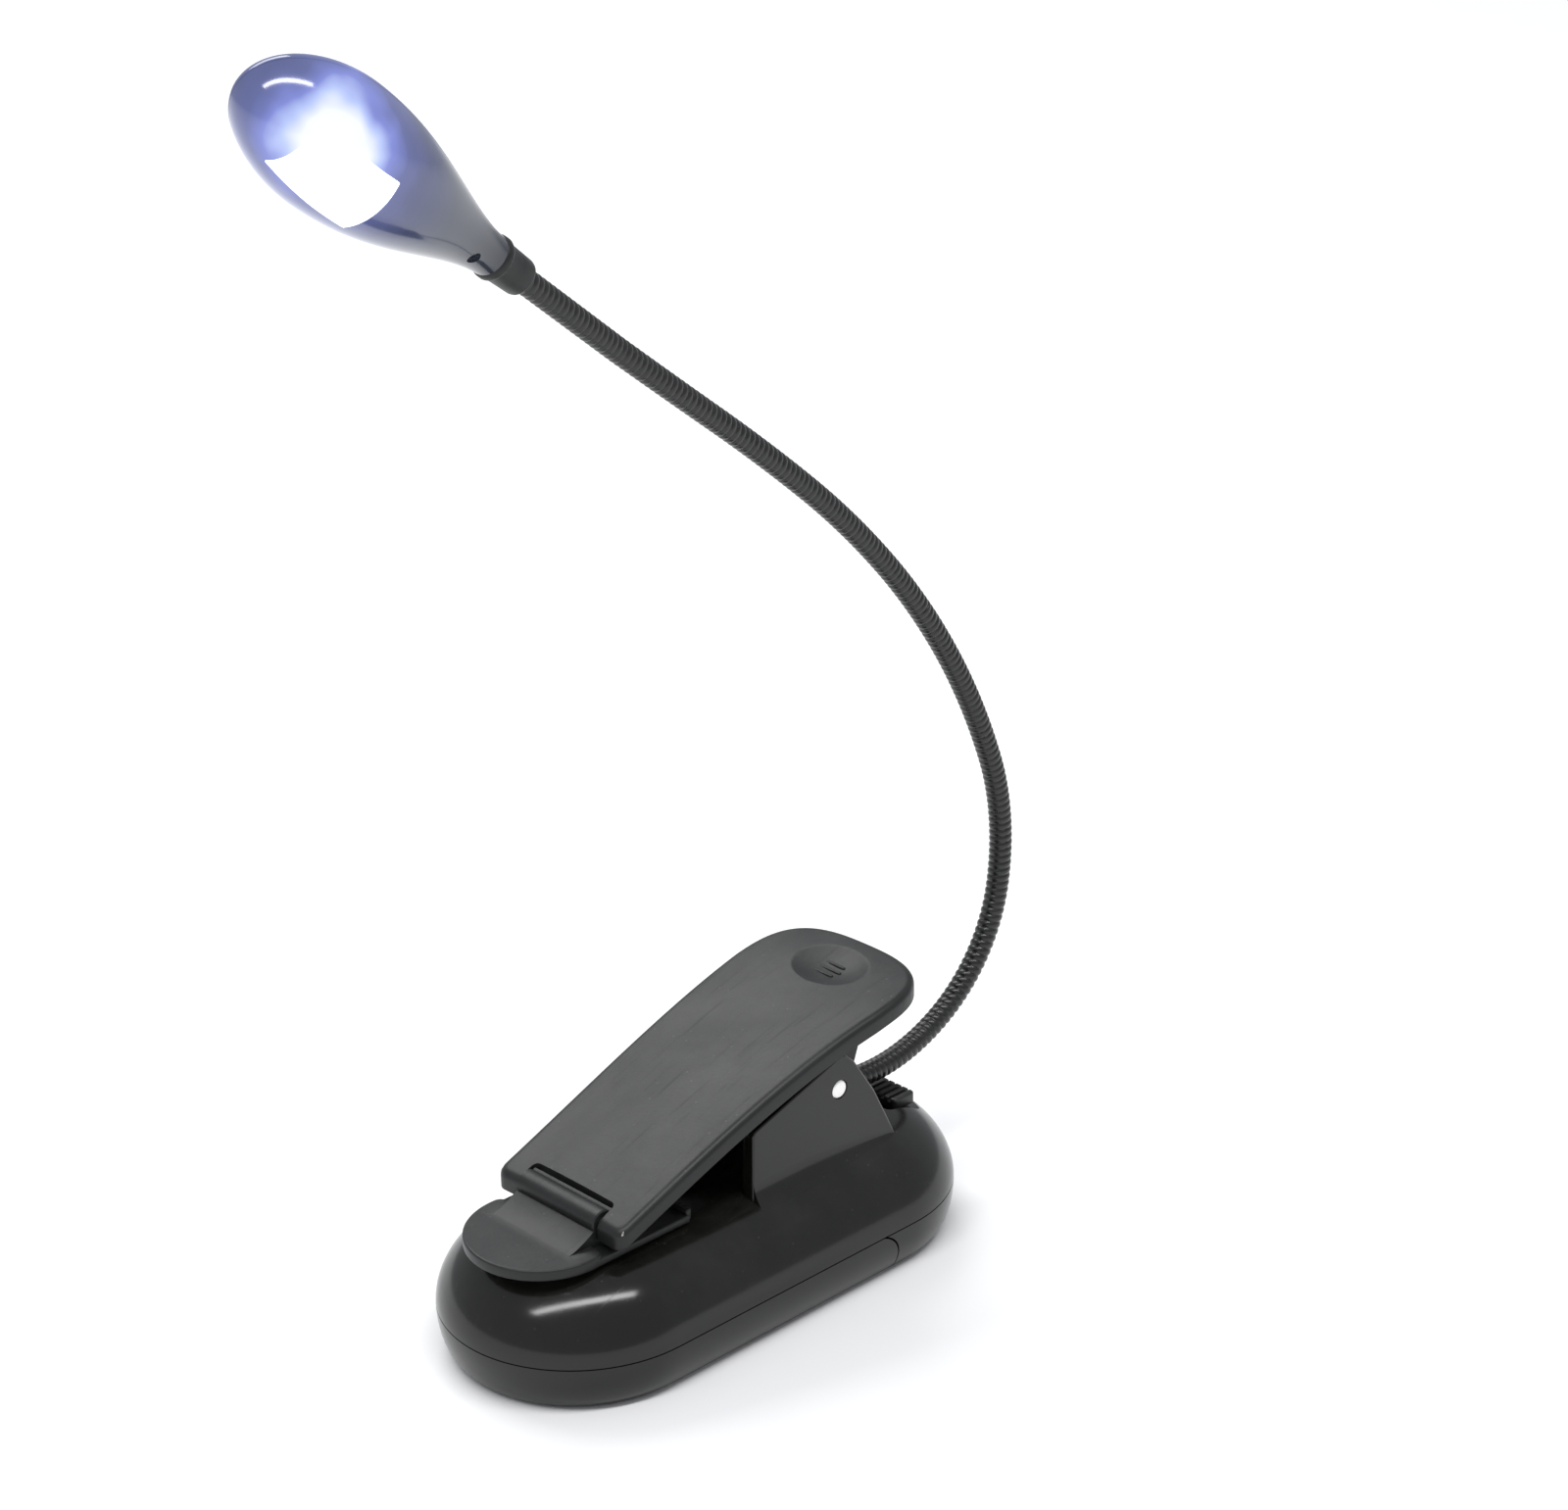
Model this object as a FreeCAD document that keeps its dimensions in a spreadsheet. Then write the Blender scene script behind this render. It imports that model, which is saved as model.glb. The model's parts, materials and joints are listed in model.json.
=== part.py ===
"""Clip-on reading lamp: a battery base with a sprung clip, a gooseneck and a lamp head.

Frame: +X to the rear of the base (the gooseneck side), -X to the jaw of the clip, +Z up.
The origin is under the middle of the base, on the face that it stands on.
Sizes are in millimetres and live in the sheet "Sizes".
"""
import FreeCAD
import Part
import Sketcher
import math
import os
import re

Vector = FreeCAD.Vector

SIZES = {
    # base shells
    "base_length": 90.0,
    "base_width": 42.0,
    "base_height": 18.8,
    "parting_height": 7.8,
    "shoulder_round": 10.9,
    "foot_round": 4.0,
    "wall": 1.6,
    "slide_gap": 0.2,
    "door_rear": 21.0,
    "door_corner": 5.5,
    # battery bay
    "cell_radius": 5.25,
    "cell_length": 43.5,
    "nub_radius": 1.9,
    "nub_length": 1.0,
    "cell_gap": 0.3,
    "cell_rest": 0.3,
    "bay_front": -34.1,
    "spring_length": 2.0,
    "plate_thick": 0.4,
    "tray_wall": 1.5,
    # screws
    "screw_shank": 0.8,
    "screw_head": 1.6,
    "screw_head_height": 1.0,
    "screw_fit": 0.05,
    "boss_wall": 1.4,
    # circuit board and switch
    "board_front": 17.5,
    "board_length": 22.5,
    "board_width": 16.0,
    "board_thick": 1.0,
    "board_height": 9.0,
    "switch_length": 6.4,
    "switch_width": 11.0,
    "switch_height": 3.4,
    "switch_x": 37.2,
    "knob_length": 4.6,
    "knob_width": 8.0,
    "knob_drop": 0.5,
    "recess_front": 31.5,
    "recess_half": 8.0,
    "recess_drop": 2.8,
    "knob_start": -2.0,
    "stem_width": 3.6,
    "switch_travel": 4.0,
    # cheeks and pivot
    "cheek_outer": 12.6,
    "cheek_thick": 2.2,
    "pivot_x": 16.7,
    "pivot_z": 29.8,
    "pivot_radius": 1.5,
    "pivot_fit": 0.06,
    "side_gap": 0.3,
    # lever
    "lever_width": 27.6,
    "lever_front": -27.8,
    "lever_front_top": 25.3,
    "lever_slope": 20.8,
    "lever_knee": 1.9,
    "lever_rear_slope": 10.9,
    "lever_rear": 34.6,
    "lever_corner": 9.5,
    "lever_depth": 3.2,
    "lever_skin": 1.6,
    "lug_thick": 2.0,
    "notch_depth": 4.2,
    "notch_half": 8.7,
    "dimple_x": 27.3,
    # pad
    "pad_pin_x": -26.4,
    "pad_pin_z": 23.6,
    "pad_pin_radius": 0.75,
    "pad_rest": 0.3,
    "pad_thick": 1.7,
    "pad_front": -42.0,
    "pad_nose_half": 11.4,
    "pad_rear": -12.0,
    "knuckle_radius": 2.0,
    # torsion spring
    "spring_wire": 0.5,
    "spring_coil": 2.3,
    "spring_turns": 4.0,
    "spring_pitch": 1.25,
    # gooseneck
    "neck_radius": 1.8,
    "neck_bore": 0.85,
    "lead_radius": 0.55,
    "neck_gap": 0.75,
    "neck_start_x": 31.0,
    "neck_start_z": 21.2,
    "neck_heading": -9.5,
    "neck_link": 22.2,
    "neck_insert": 8.0,
    "neck_fit": 0.05,
    "neck_boss_half": 4.2,
    "neck_boss_top": 26.9,
    "lead_turn": 1.3,
    "bend_1": 41.5,
    "bend_2": 48.5,
    "bend_3": 29.5,
    "bend_4": 11.5,
    "bend_5": 10.0,
    "bend_6": 7.5,
    "bend_7": 3.0,
    "bend_8": -0.5,
    "bend_9": 0.0,
    # lamp head
    "head_yaw": 3.5,
    "head_roll": 53.0,
    "head_length": 47.7,
    "head_half_width": 9.0,
    "head_belly": 11.2,
    "head_back": 4.65,
    "head_neck": 2.9,
    "head_fullest": 0.69,
    "head_wall": 1.2,
    "collar_length": 6.6,
    "collar_cover": 0.3,
    "collar_radius": 2.75,
    "window_centre": 35.0,
    "window_length": 13.8,
    "window_width": 9.1,
    "lens_gap": 0.1,
    "lens_thick": 1.0,
    "led_pitch": 5.4,
    "led_size": 3.5,
    "led_thick": 1.4,
    "head_board_depth": 4.6,
    "head_screw_at": 5.2,
    "board_post": 1.4,
}
LINKS = 9
CELLS = 3

doc = FreeCAD.newDocument("reading_lamp")
sheet = doc.addObject("Spreadsheet::Sheet", "Sizes")
for row, (alias, number) in enumerate(SIZES.items(), start=1):
    sheet.set(f"A{row}", alias)
    sheet.set(f"B{row}", str(number))
    sheet.setAlias(f"B{row}", alias)
doc.recompute()


# ---------------------------------------------------------------- helpers

def bound(formula):
    """A formula in the sheet's words, written the way the expression engine reads it."""
    return re.sub(r"[a-z]\w*", lambda word: "Sizes." + word.group() if word.group() in SIZES
                  else word.group(), str(formula))


def value(formula):
    """The number that a formula has now."""
    return float(sheet.evalExpression(bound(formula)))


def tie(thing, prop, formula):
    thing.setExpression(prop, bound(formula))


def place(thing, x="0", y="0", z="0"):
    tie(thing, ".Placement.Base.x", x)
    tie(thing, ".Placement.Base.y", y)
    tie(thing, ".Placement.Base.z", z)
    return thing


def block(name, x, y, z):
    """A box between two formulas on each axis."""
    box = doc.addObject("Part::Box", name)
    tie(box, "Length", f"({x[1]}) - ({x[0]})")
    tie(box, "Width", f"({y[1]}) - ({y[0]})")
    tie(box, "Height", f"({z[1]}) - ({z[0]})")
    return place(box, x[0], y[0], z[0])


TURNS = {"z": FreeCAD.Rotation(), "x": FreeCAD.Rotation(Vector(0, 1, 0), 90),
         "y": FreeCAD.Rotation(Vector(1, 0, 0), -90)}


def rod(name, radius, length, x="0", y="0", z="0", along="z"):
    """A cylinder that starts at a point and runs along +X, +Y or +Z."""
    thing = doc.addObject("Part::Cylinder", name)
    tie(thing, "Radius", radius)
    tie(thing, "Height", length)
    thing.Placement = FreeCAD.Placement(Vector(), TURNS[along])
    return place(thing, x, y, z)


def fuse(name, *things):
    whole = doc.addObject("Part::MultiFuse", name)
    whole.Shapes = list(things)
    whole.Refine = True
    return whole


def cut(name, base, *tools):
    """The base with each tool taken away."""
    tool = tools[0] if len(tools) == 1 else fuse(name + "_tools", *tools)
    rest = doc.addObject("Part::Cut", name)
    rest.Base = base
    rest.Tool = tool
    rest.Refine = True
    return rest


def common(name, one, other):
    shared = doc.addObject("Part::Common", name)
    shared.Base = one
    shared.Tool = other
    shared.Refine = True
    return shared


def coded(name, shape):
    """A shape worked out in code from the sheet's numbers."""
    thing = doc.addObject("Part::Feature", name)
    thing.Shape = shape
    return thing


def new_sketch(body, role, offset="0"):
    plane = [item for item in body.Origin.OriginFeatures if item.Role == role][0]
    sketch = body.newObject("Sketcher::SketchObject", body.Name + "_sketch")
    sketch.AttachmentSupport = [(plane, "")]
    sketch.MapMode = "FlatFace"
    tie(sketch, ".AttachmentOffset.Base.z", offset)
    return sketch


def fix_point(sketch, geometry, end, across, up):
    for kind, formula in (("DistanceX", across), ("DistanceY", up)):
        at = sketch.addConstraint(Sketcher.Constraint(kind, -1, 1, geometry, end, value(formula)))
        sketch.setExpression(f"Constraints[{at}]", bound(formula))


def draw_polygon(sketch, points):
    """A closed outline whose corners are pairs of formulas."""
    spots = [Vector(value(across), value(up), 0) for across, up in points]
    count = len(points)
    for index in range(count):
        sketch.addGeometry(Part.LineSegment(spots[index], spots[(index + 1) % count]), False)
    for index in range(count):
        after = (index + 1) % count
        sketch.addConstraint(Sketcher.Constraint("Coincident", index, 2, after, 1))
        fix_point(sketch, index, 1, *points[index])


def draw_slot(sketch, length, width):
    """An outline of two straight sides and two half circles."""
    half, centre = value(f"({width}) / 2"), value(f"(({length}) - ({width})) / 2")
    line, arc = Part.LineSegment, Part.ArcOfCircle
    up = Vector(0, 0, 1)
    sketch.addGeometry(line(Vector(-centre, -half, 0), Vector(centre, -half, 0)), False)
    sketch.addGeometry(arc(Part.Circle(Vector(centre, 0, 0), up, half), -math.pi / 2, math.pi / 2), False)
    sketch.addGeometry(line(Vector(centre, half, 0), Vector(-centre, half, 0)), False)
    sketch.addGeometry(arc(Part.Circle(Vector(-centre, 0, 0), up, half), math.pi / 2, 1.5 * math.pi), False)
    for index in range(4):
        sketch.addConstraint(Sketcher.Constraint("Coincident", index, 2, (index + 1) % 4, 1))
    for index, side in ((1, "1"), (3, "-1")):
        for end in (1, 2):
            sketch.addConstraint(Sketcher.Constraint("Vertical", index, 3, index, end))
        at = sketch.addConstraint(Sketcher.Constraint("Radius", index, half))
        sketch.setExpression(f"Constraints[{at}]", bound(f"({width}) / 2"))
        fix_point(sketch, index, 3, f"{side} * (({length}) - ({width})) / 2", "0")


def pad_body(name, sketch_body, sketch, height, both_ways=False):
    pad = sketch_body.newObject("PartDesign::Pad", name + "_pad")
    pad.Profile = sketch
    tie(pad, "Length", height)
    pad.Midplane = both_ways
    return pad


def slab(name, role, points, thickness, offset="0", both_ways=True):
    """A polygon made into a plate."""
    body = doc.addObject("PartDesign::Body", name)
    sketch = new_sketch(body, role, offset)
    draw_polygon(sketch, points)
    pad_body(name, body, sketch, thickness, both_ways)
    return body


def round_edges(body, chosen, radius):
    """A fillet on the edges of the body's last feature that the test chooses."""
    doc.recompute()
    base = body.Tip
    edges = [f"Edge{number}" for number, edge in enumerate(base.Shape.Edges, start=1) if chosen(edge)]
    fillet = body.newObject("PartDesign::Fillet", body.Name + "_fillet")
    fillet.Base = (base, edges)
    tie(fillet, "Radius", radius)
    return body


def at_height(height):
    return lambda edge: all(abs(spot.Z - height) < 1e-4 for spot in edge.Vertexes) \
        and abs(edge.CenterOfMass.z - height) < 1e-4


def along_y(near):
    """Edges along Y that lie close to a point of the XZ plane."""
    def test(edge):
        box = edge.BoundBox
        return (box.YLength > 1 and box.XLength < 1e-4 and box.ZLength < 1e-4
                and math.hypot(box.XMin - near[0], box.ZMin - near[1]) < 0.05)
    return test


def slot_body(name, length, width, low, high, rounding, round_at):
    """A plate with two half-round ends and one rounded rim."""
    body = doc.addObject("PartDesign::Body", name)
    sketch = new_sketch(body, "XY_Plane", low)
    draw_slot(sketch, length, width)
    pad_body(name, body, sketch, f"({high}) - ({low})")
    round_edges(body, at_height(value(round_at)), rounding)
    return body


parts = {}


def keep(name, thing):
    """Gives a finished piece its name and puts it on the list of pieces."""
    thing.Label = name
    parts[name] = thing
    return thing


# ---------------------------------------------------------------- base shells

INNER_LENGTH = "base_length - 2 * wall"
INNER_WIDTH = "base_width - 2 * wall"
CEILING = "base_height - wall"
CELL_Z = "wall + cell_rest + cell_radius"
PITCH = "(2 * cell_radius + cell_gap)"
DECK_LOW = "wall + 2 * cell_rest + 2 * cell_radius"
DECK_TOP = "wall + 2 * cell_rest + 2 * cell_radius + tray_wall"
BAY_REAR = "bay_front + nub_length + cell_length + spring_length"
TRAY_SCREW_LENGTH = f"base_height - 0.7 - ({DECK_LOW})"
TRAY_SCREWS = (("bay_front - plate_thick - tray_wall - 2.0", "0"),
               ("bay_front + nub_length + cell_length + spring_length + plate_thick + tray_wall + 2.4", "11.4"),
               ("bay_front + nub_length + cell_length + spring_length + plate_thick + tray_wall + 2.4", "-11.4"))
CAP_SCREWS = (("34.0", "10.6"), ("34.0", "-10.6"))
CAP_LEDGE = "3.0"
RECESS = "base_height - recess_drop"
BOSS_FRONT = "neck_start_x - neck_insert - lead_turn - neck_bore - 1.2"
LEAD_TURN_X = "neck_start_x - (neck_insert + lead_turn) * cos(neck_heading)"
LEAD_TURN_Z = "neck_start_z - (neck_insert + lead_turn) * sin(neck_heading)"

# The gooseneck's plug goes back into the boss along its own line.
heading = math.radians(value("neck_heading"))
neck_start = Vector(value("neck_start_x"), 0, value("neck_start_z"))
neck_way = Vector(math.cos(heading), 0, math.sin(heading))


def leaning_rod(name, radius, start, way, length):
    """A cylinder along any line, its radius from the sheet."""
    return coded(name, Part.makeCylinder(value(radius), length, start, way))


def cheek(side):
    """One of the two upright cheeks that carry the pivot pin."""
    sign = {"right": "", "left": "-"}[side]
    corners = [("-1.4", f"{CEILING} + 0.3"), ("-1.0", "pivot_z - 0.4"),
               ("pivot_x + 0.8", "pivot_z + 5.7"), ("pivot_x + 3.2", "pivot_z + 3.5"),
               ("pivot_x + 7.3", "pivot_z - 2.9"), ("pivot_x + 12.0", f"{CEILING} + 0.3")]
    middle = f"{sign}1 * (cheek_outer - cheek_thick / 2)"
    body = slab("cheek_" + side, "XZ_Plane", corners, "cheek_thick", middle)
    for corner in corners[1:3]:
        round_edges(body, along_y((value(corner[0]), value(corner[1]))), "1.2")
    return body


def build_upper_housing():
    outer = slot_body("upper_outer", "base_length", "base_width", "parting_height", "base_height",
                      "shoulder_round", "base_height")
    inner = slot_body("upper_inner", INNER_LENGTH, INNER_WIDTH, "parting_height", CEILING,
                      "shoulder_round - wall", CEILING)
    shell = cut("upper_shell", outer, inner)
    solids = [shell, cheek("right"), cheek("left")]
    solids.append(slab("neck_boss", "XZ_Plane",
                       [(BOSS_FRONT, f"{CEILING} + 0.3"), (BOSS_FRONT, "neck_boss_top"),
                        ("neck_start_x - 4.5", "neck_boss_top"), ("neck_start_x", "neck_start_z + 2.4"),
                        ("neck_start_x", f"{CEILING} + 0.3")], "2 * neck_boss_half"))
    floor = block("recess_floor", ("recess_front - 1", "base_length / 2"),
                  ("-recess_half - 1", "recess_half + 1"), (f"{RECESS} - 1.4", "base_height - 0.4"))
    solids.append(common("recess_floor_in", floor, outer))
    holes = []
    for number, (x, y) in enumerate(TRAY_SCREWS + CAP_SCREWS):
        tray = number < len(TRAY_SCREWS)
        low = DECK_TOP if tray else "parting_height"
        depth = f"base_height - 0.5 - ({DECK_TOP})" if tray else "4.6"
        post = rod(f"upper_post_{number}", "screw_shank + boss_wall", f"base_height - 0.4 - ({low})", x, y, low)
        solids.append(common(f"upper_post_in_{number}", post, outer))
        holes.append(rod(f"upper_hole_{number}", "screw_shank + screw_fit", depth, x, y, f"({low}) - 0.01"))
    holes.append(rod("pivot_hole", "pivot_radius + 0.02", "2 * cheek_outer + 2", "pivot_x",
                     "-cheek_outer - 1", "pivot_z", "y"))
    holes.append(leaning_rod("neck_hole", "neck_radius + neck_fit", neck_start + neck_way * 1.0,
                             neck_way * -1, value("neck_insert + 1.2")))
    holes.append(leaning_rod("lead_hole", "neck_bore", neck_start, neck_way * -1,
                             value("neck_insert + lead_turn + neck_bore")))
    holes.append(rod("lead_drop", "neck_bore", f"{LEAD_TURN_Z} + neck_bore - ({CEILING}) + 2",
                     LEAD_TURN_X, "0", f"{CEILING} - 2"))
    holes.append(block("recess", ("recess_front", "base_length / 2 + 1"), ("-recess_half", "recess_half"),
                       (RECESS, "base_height + 1")))
    holes.append(block("switch_slot", ("switch_x - 1.3", "switch_x + 1.3"),
                       ("-(stem_width + switch_travel) / 2 - 0.3", "(stem_width + switch_travel) / 2 + 0.3"),
                       (f"{RECESS} - 3", "base_height")))
    return cut("upper_cut", fuse("upper_solid", *solids), *holes)


def door_outline(gap):
    """Side view of the battery door, from in front of the base to its rounded rear corner."""
    rear, top = f"door_rear - {gap}", f"parting_height - {gap}"
    body = slab(f"door_view_{gap}", "XZ_Plane",
                [("-base_length", "-1"), (rear, "-1"), (rear, top), ("-base_length", top)], "base_width + 4")
    return round_edges(body, along_y((value(rear), value(top))), "door_corner")


def lower_tub(name):
    outer = slot_body(name + "_outer", "base_length", "base_width", "0", "parting_height", "foot_round", "0")
    inner = slot_body(name + "_inner", INNER_LENGTH, INNER_WIDTH, "wall", "parting_height",
                      "foot_round - wall", "wall")
    return outer, cut(name + "_shell", outer, inner)


def build_lower_housing():
    """The rear cap of the base, with posts for the board and two screw posts."""
    outer, tub = lower_tub("cap")
    rear = cut("cap_rear", tub, door_outline("0"))
    solids = [rear]
    inside = block("cap_room", ("door_rear", "base_length / 2"), ("-base_width / 2", "base_width / 2"),
                   ("0", "parting_height"))
    wall_plate = block("cap_bulkhead", ("door_rear", "door_rear + wall"),
                       ("-base_width / 2 + 4", "base_width / 2 - 4"), ("wall / 2", "parting_height - 1"))
    solids.append(wall_plate)
    posts = []
    for number, (x, y) in enumerate(CAP_SCREWS):
        posts.append(rod(f"cap_post_{number}", "screw_head + screw_fit + 1.2", "parting_height", x, y, "0"))
    for number, y in enumerate(("5", "-5")):
        posts.append(rod(f"board_post_{number}", "1.8", "board_height - wall / 2", "board_front + board_length - 5",
                         y, "wall / 2"))
    posts_in = common("cap_posts_low", fuse("cap_posts", *posts[:2]), outer)
    solids += [posts_in] + posts[2:]
    holes = []
    for number, (x, y) in enumerate(CAP_SCREWS):
        holes.append(rod(f"cap_hole_{number}", "screw_shank + 0.1", "parting_height + 2", x, y, "-1"))
        holes.append(rod(f"cap_sink_{number}", "screw_head + 0.2", f"{CAP_LEDGE} + 1", x, y, "-1"))
    return cut("cap_cut", fuse("cap_solid", *solids), *holes)


def build_battery_door():
    """The tub under the cells, closed at the front, with two tongues at its rear edge."""
    outer, tub = lower_tub("door")
    body = common("door_tub", tub, door_outline("slide_gap"))
    tongues = [block(f"door_tongue_{side}", ("door_rear - 2.2", "door_rear - slide_gap"),
                     (f"{side} * 10 - 3", f"{side} * 10 + 3"), ("wall / 2", "wall + 1.2")) for side in ("1", "-1")]
    return fuse("door_solid", body, *tongues)


# ---------------------------------------------------------------- battery bay

def base_room(name):
    """The room inside the base, less a gap all round, that trims what has to fit under the shoulder."""
    top = f"{CEILING} - slide_gap"
    return slot_body(name, f"{INNER_LENGTH} - 2 * slide_gap", f"{INNER_WIDTH} - 2 * slide_gap", "wall", top,
                     "shoulder_round - wall - slide_gap", top)


def build_cell(number):
    """One cell; the middle one lies the other way round."""
    y = f"{number - 1} * {PITCH}"
    if number == 1:
        start, nub = "bay_front + nub_length", "bay_front"
    else:
        start, nub = "bay_front + spring_length", "bay_front + spring_length + cell_length - 0.01"
    can = rod(f"cell_can_{number}", "cell_radius", "cell_length", start, y, CELL_Z, "x")
    tip = rod(f"cell_nub_{number}", "nub_radius", "nub_length + 0.01", nub, y, CELL_Z, "x")
    return fuse(f"cell_{number}", can, tip)


def build_contact_spring(number):
    """The room of a conical contact spring, as a hollow cone."""
    y = f"{number - 1} * {PITCH}"
    wide, narrow = 3.2, 2.0
    front_end = number != 1
    start = value("bay_front") if front_end else value(BAY_REAR)
    way = Vector(1 if front_end else -1, 0, 0)
    spot = Vector(start, value(y), value(CELL_Z))
    length = value("spring_length")
    outer = Part.makeCone(wide, narrow, length, spot, way)
    inner = Part.makeCone(wide - 0.5, narrow - 0.5, length, spot, way)
    return coded(f"contact_spring_{number}", outer.cut(inner))


def build_tray():
    """Deck over the cells, a wall at each end, and ribs that part the cells."""
    half = f"{PITCH} + cell_radius - 1.2"
    front, rear = "bay_front - plate_thick", f"{BAY_REAR} + plate_thick"
    low, top, narrow = "wall + 1.6", DECK_TOP, f"{PITCH} + 0.7"
    solids = [block("deck", (f"{front} + 4", f"{rear} + tray_wall"), (f"-({half})", half), (DECK_LOW, top)),
              block("deck_front", (f"{front} - tray_wall", f"{front} + 4.5"), (f"-({narrow})", narrow),
                    (DECK_LOW, top)),
              block("tray_front", (f"{front} - tray_wall", front), (f"-({narrow})", narrow), (low, top)),
              block("tray_rear", (rear, f"{rear} + tray_wall"), (f"-({half})", half), (low, top))]
    for side in (-1, 1):
        solids.append(block(f"tray_rib_{side + 1}", (front, rear),
                            (f"{side} * {PITCH} / 2 - 0.7", f"{side} * {PITCH} / 2 + 0.7"),
                            (f"{CELL_Z} + cell_radius - 1.15", top)))
    holes = []
    for number, (x, y) in enumerate(TRAY_SCREWS):
        solids.append(rod(f"tray_lug_{number}", "screw_head + 0.8", "tray_wall", x, y, DECK_LOW))
        holes.append(rod(f"tray_hole_{number}", "screw_shank + 0.1", "tray_wall + 2", x, y, f"{DECK_LOW} - 1"))
    solids.append(block("tray_tie", (rear, f"{rear} + tray_wall + 2.4"), ("-12", "12"), (DECK_LOW, top)))
    tray = cut("tray_cut", fuse("tray_solid", *solids), *holes)
    return common("tray_in", tray, base_room("tray_room"))


def build_contact_plate(name, low, high):
    """A thin metal strip across all three cells."""
    half = f"{PITCH} + cell_radius - 1.8"
    strip = block(name, (low, high), (f"-({half})", half), (f"{CELL_Z} - 3.4", f"{CELL_Z} + 4.0"))
    return common(name + "_in", strip, base_room(name + "_room"))


def screw(name, x, y, seat, length):
    """A self-tapping screw, driven upwards, its head under the seat."""
    head = rod(name + "_head", "screw_head", "screw_head_height", x, y, f"({seat}) - screw_head_height")
    shank = rod(name + "_shank", "screw_shank", f"{length} + 0.01", x, y, f"({seat}) - 0.01")
    slot = block(name + "_slot", (f"({x}) - 1.1", f"({x}) + 1.1"), (f"({y}) - 0.2", f"({y}) + 0.2"),
                 (f"({seat}) - screw_head_height - 1", f"({seat}) - screw_head_height / 2"))
    return cut(name + "_cut", fuse(name, head, shank), slot)


def build_screws():
    group = [screw(f"tray_screw_{number}", x, y, DECK_LOW, TRAY_SCREW_LENGTH)
             for number, (x, y) in enumerate(TRAY_SCREWS)]
    group += [screw(f"cap_screw_{number}", x, y, CAP_LEDGE, "9.0") for number, (x, y) in enumerate(CAP_SCREWS)]
    whole = doc.addObject("Part::Compound", "screw_group")
    whole.Links = group
    return whole


# ---------------------------------------------------------------- board and switch

def build_board():
    return block("board", ("board_front", "board_front + board_length"), ("-board_width / 2", "board_width / 2"),
                 ("board_height", "board_height + board_thick"))


SWITCH_BASE = "board_height + board_thick"
SWITCH_TOP = "board_height + board_thick + switch_height"


def build_switch_body():
    """The switch's metal can, open at the top for the slider."""
    can = block("switch_can", ("switch_x - switch_length / 2", "board_front + board_length"),
                ("-switch_width / 2", "switch_width / 2"), (SWITCH_BASE, SWITCH_TOP))
    well = block("switch_well", ("switch_x - 1.2", "switch_x + 1.2"),
                 ("-(stem_width + switch_travel) / 2 - 0.3", "(stem_width + switch_travel) / 2 + 0.3"),
                 (f"{SWITCH_BASE} + 1", f"{SWITCH_TOP} + 1"))
    return cut("switch_open", can, well)


def build_switch_slider():
    """A ridged knob on a stem that reaches into the switch."""
    knob_top, low = "base_height - knob_drop", f"{RECESS} + slide_gap"
    x0, x1 = "switch_x - knob_length / 2", "switch_x + knob_length / 2"
    knob = block("knob", (x0, x1), ("knob_start - knob_width / 2", "knob_start + knob_width / 2"), (low, knob_top))
    stem = block("knob_stem", ("switch_x - 1", "switch_x + 1"),
                 ("knob_start - stem_width / 2", "knob_start + stem_width / 2"),
                 (f"{SWITCH_BASE} + 1.3", f"({low}) + 0.2"))
    grooves = [block(f"knob_groove_{step + 2}", (f"{x0} - 1", f"{x1} + 1"),
                     (f"knob_start + {step} * knob_width / 5 - 0.3", f"knob_start + {step} * knob_width / 5 + 0.3"),
                     (f"{knob_top} - 0.6", f"{knob_top} + 1")) for step in (-2, -1, 0, 1, 2)]
    return cut("knob_cut", fuse("knob_solid", knob, stem), *grooves)


# ---------------------------------------------------------------- clip

KNEE_Z = "lever_front_top + (lever_knee - lever_front) * tan(lever_slope)"
LUG_OUT = "cheek_outer - cheek_thick - side_gap"


def front_run(x, drop="0"):
    """Height of the lever's top at x in front of its knee, less a drop."""
    return f"lever_front_top + (({x}) - lever_front) * tan(lever_slope) - ({drop})"


def rear_run(x, drop="0"):
    """Height of the lever's top at x behind its knee, less a drop."""
    return f"{KNEE_Z} + (({x}) - lever_knee) * tan(lever_rear_slope) - ({drop})"


def lever_side():
    """The lever's side view, drawn across its whole width."""
    rear = "lever_rear + 1"
    points = [("lever_front", front_run("lever_front", "lever_depth")), ("lever_front", "lever_front_top"),
              ("lever_knee", KNEE_Z), (rear, rear_run(rear)), (rear, rear_run(rear, "lever_depth")),
              ("lever_knee", f"{KNEE_Z} - lever_depth")]
    body = slab("lever_view", "XZ_Plane", points, "lever_width + 2")
    for corner, radius in ((2, "60"), (5, "60"), (0, "1.4"), (1, "1.0")):
        round_edges(body, along_y((value(points[corner][0]), value(points[corner][1]))), radius)
    return body


def lever_plan(name, inset):
    """The lever's plan: straight sides and a thumb end with well rounded corners."""
    half, rear = f"lever_width / 2 - {inset}", f"lever_rear - {inset}"
    body = slab(name, "XY_Plane", [("lever_front - 1", f"-({half})"), (rear, f"-({half})"), (rear, half),
                                   ("lever_front - 1", half)], "3 * base_height", "base_height", False)
    end = value(rear)
    return round_edges(body, lambda edge: edge.BoundBox.ZLength > 5 and abs(edge.BoundBox.XMin - end) < 1e-4
                       and edge.BoundBox.XLength < 1e-4 and edge.BoundBox.YLength < 1e-4,
                       f"lever_corner - {inset}")


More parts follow.
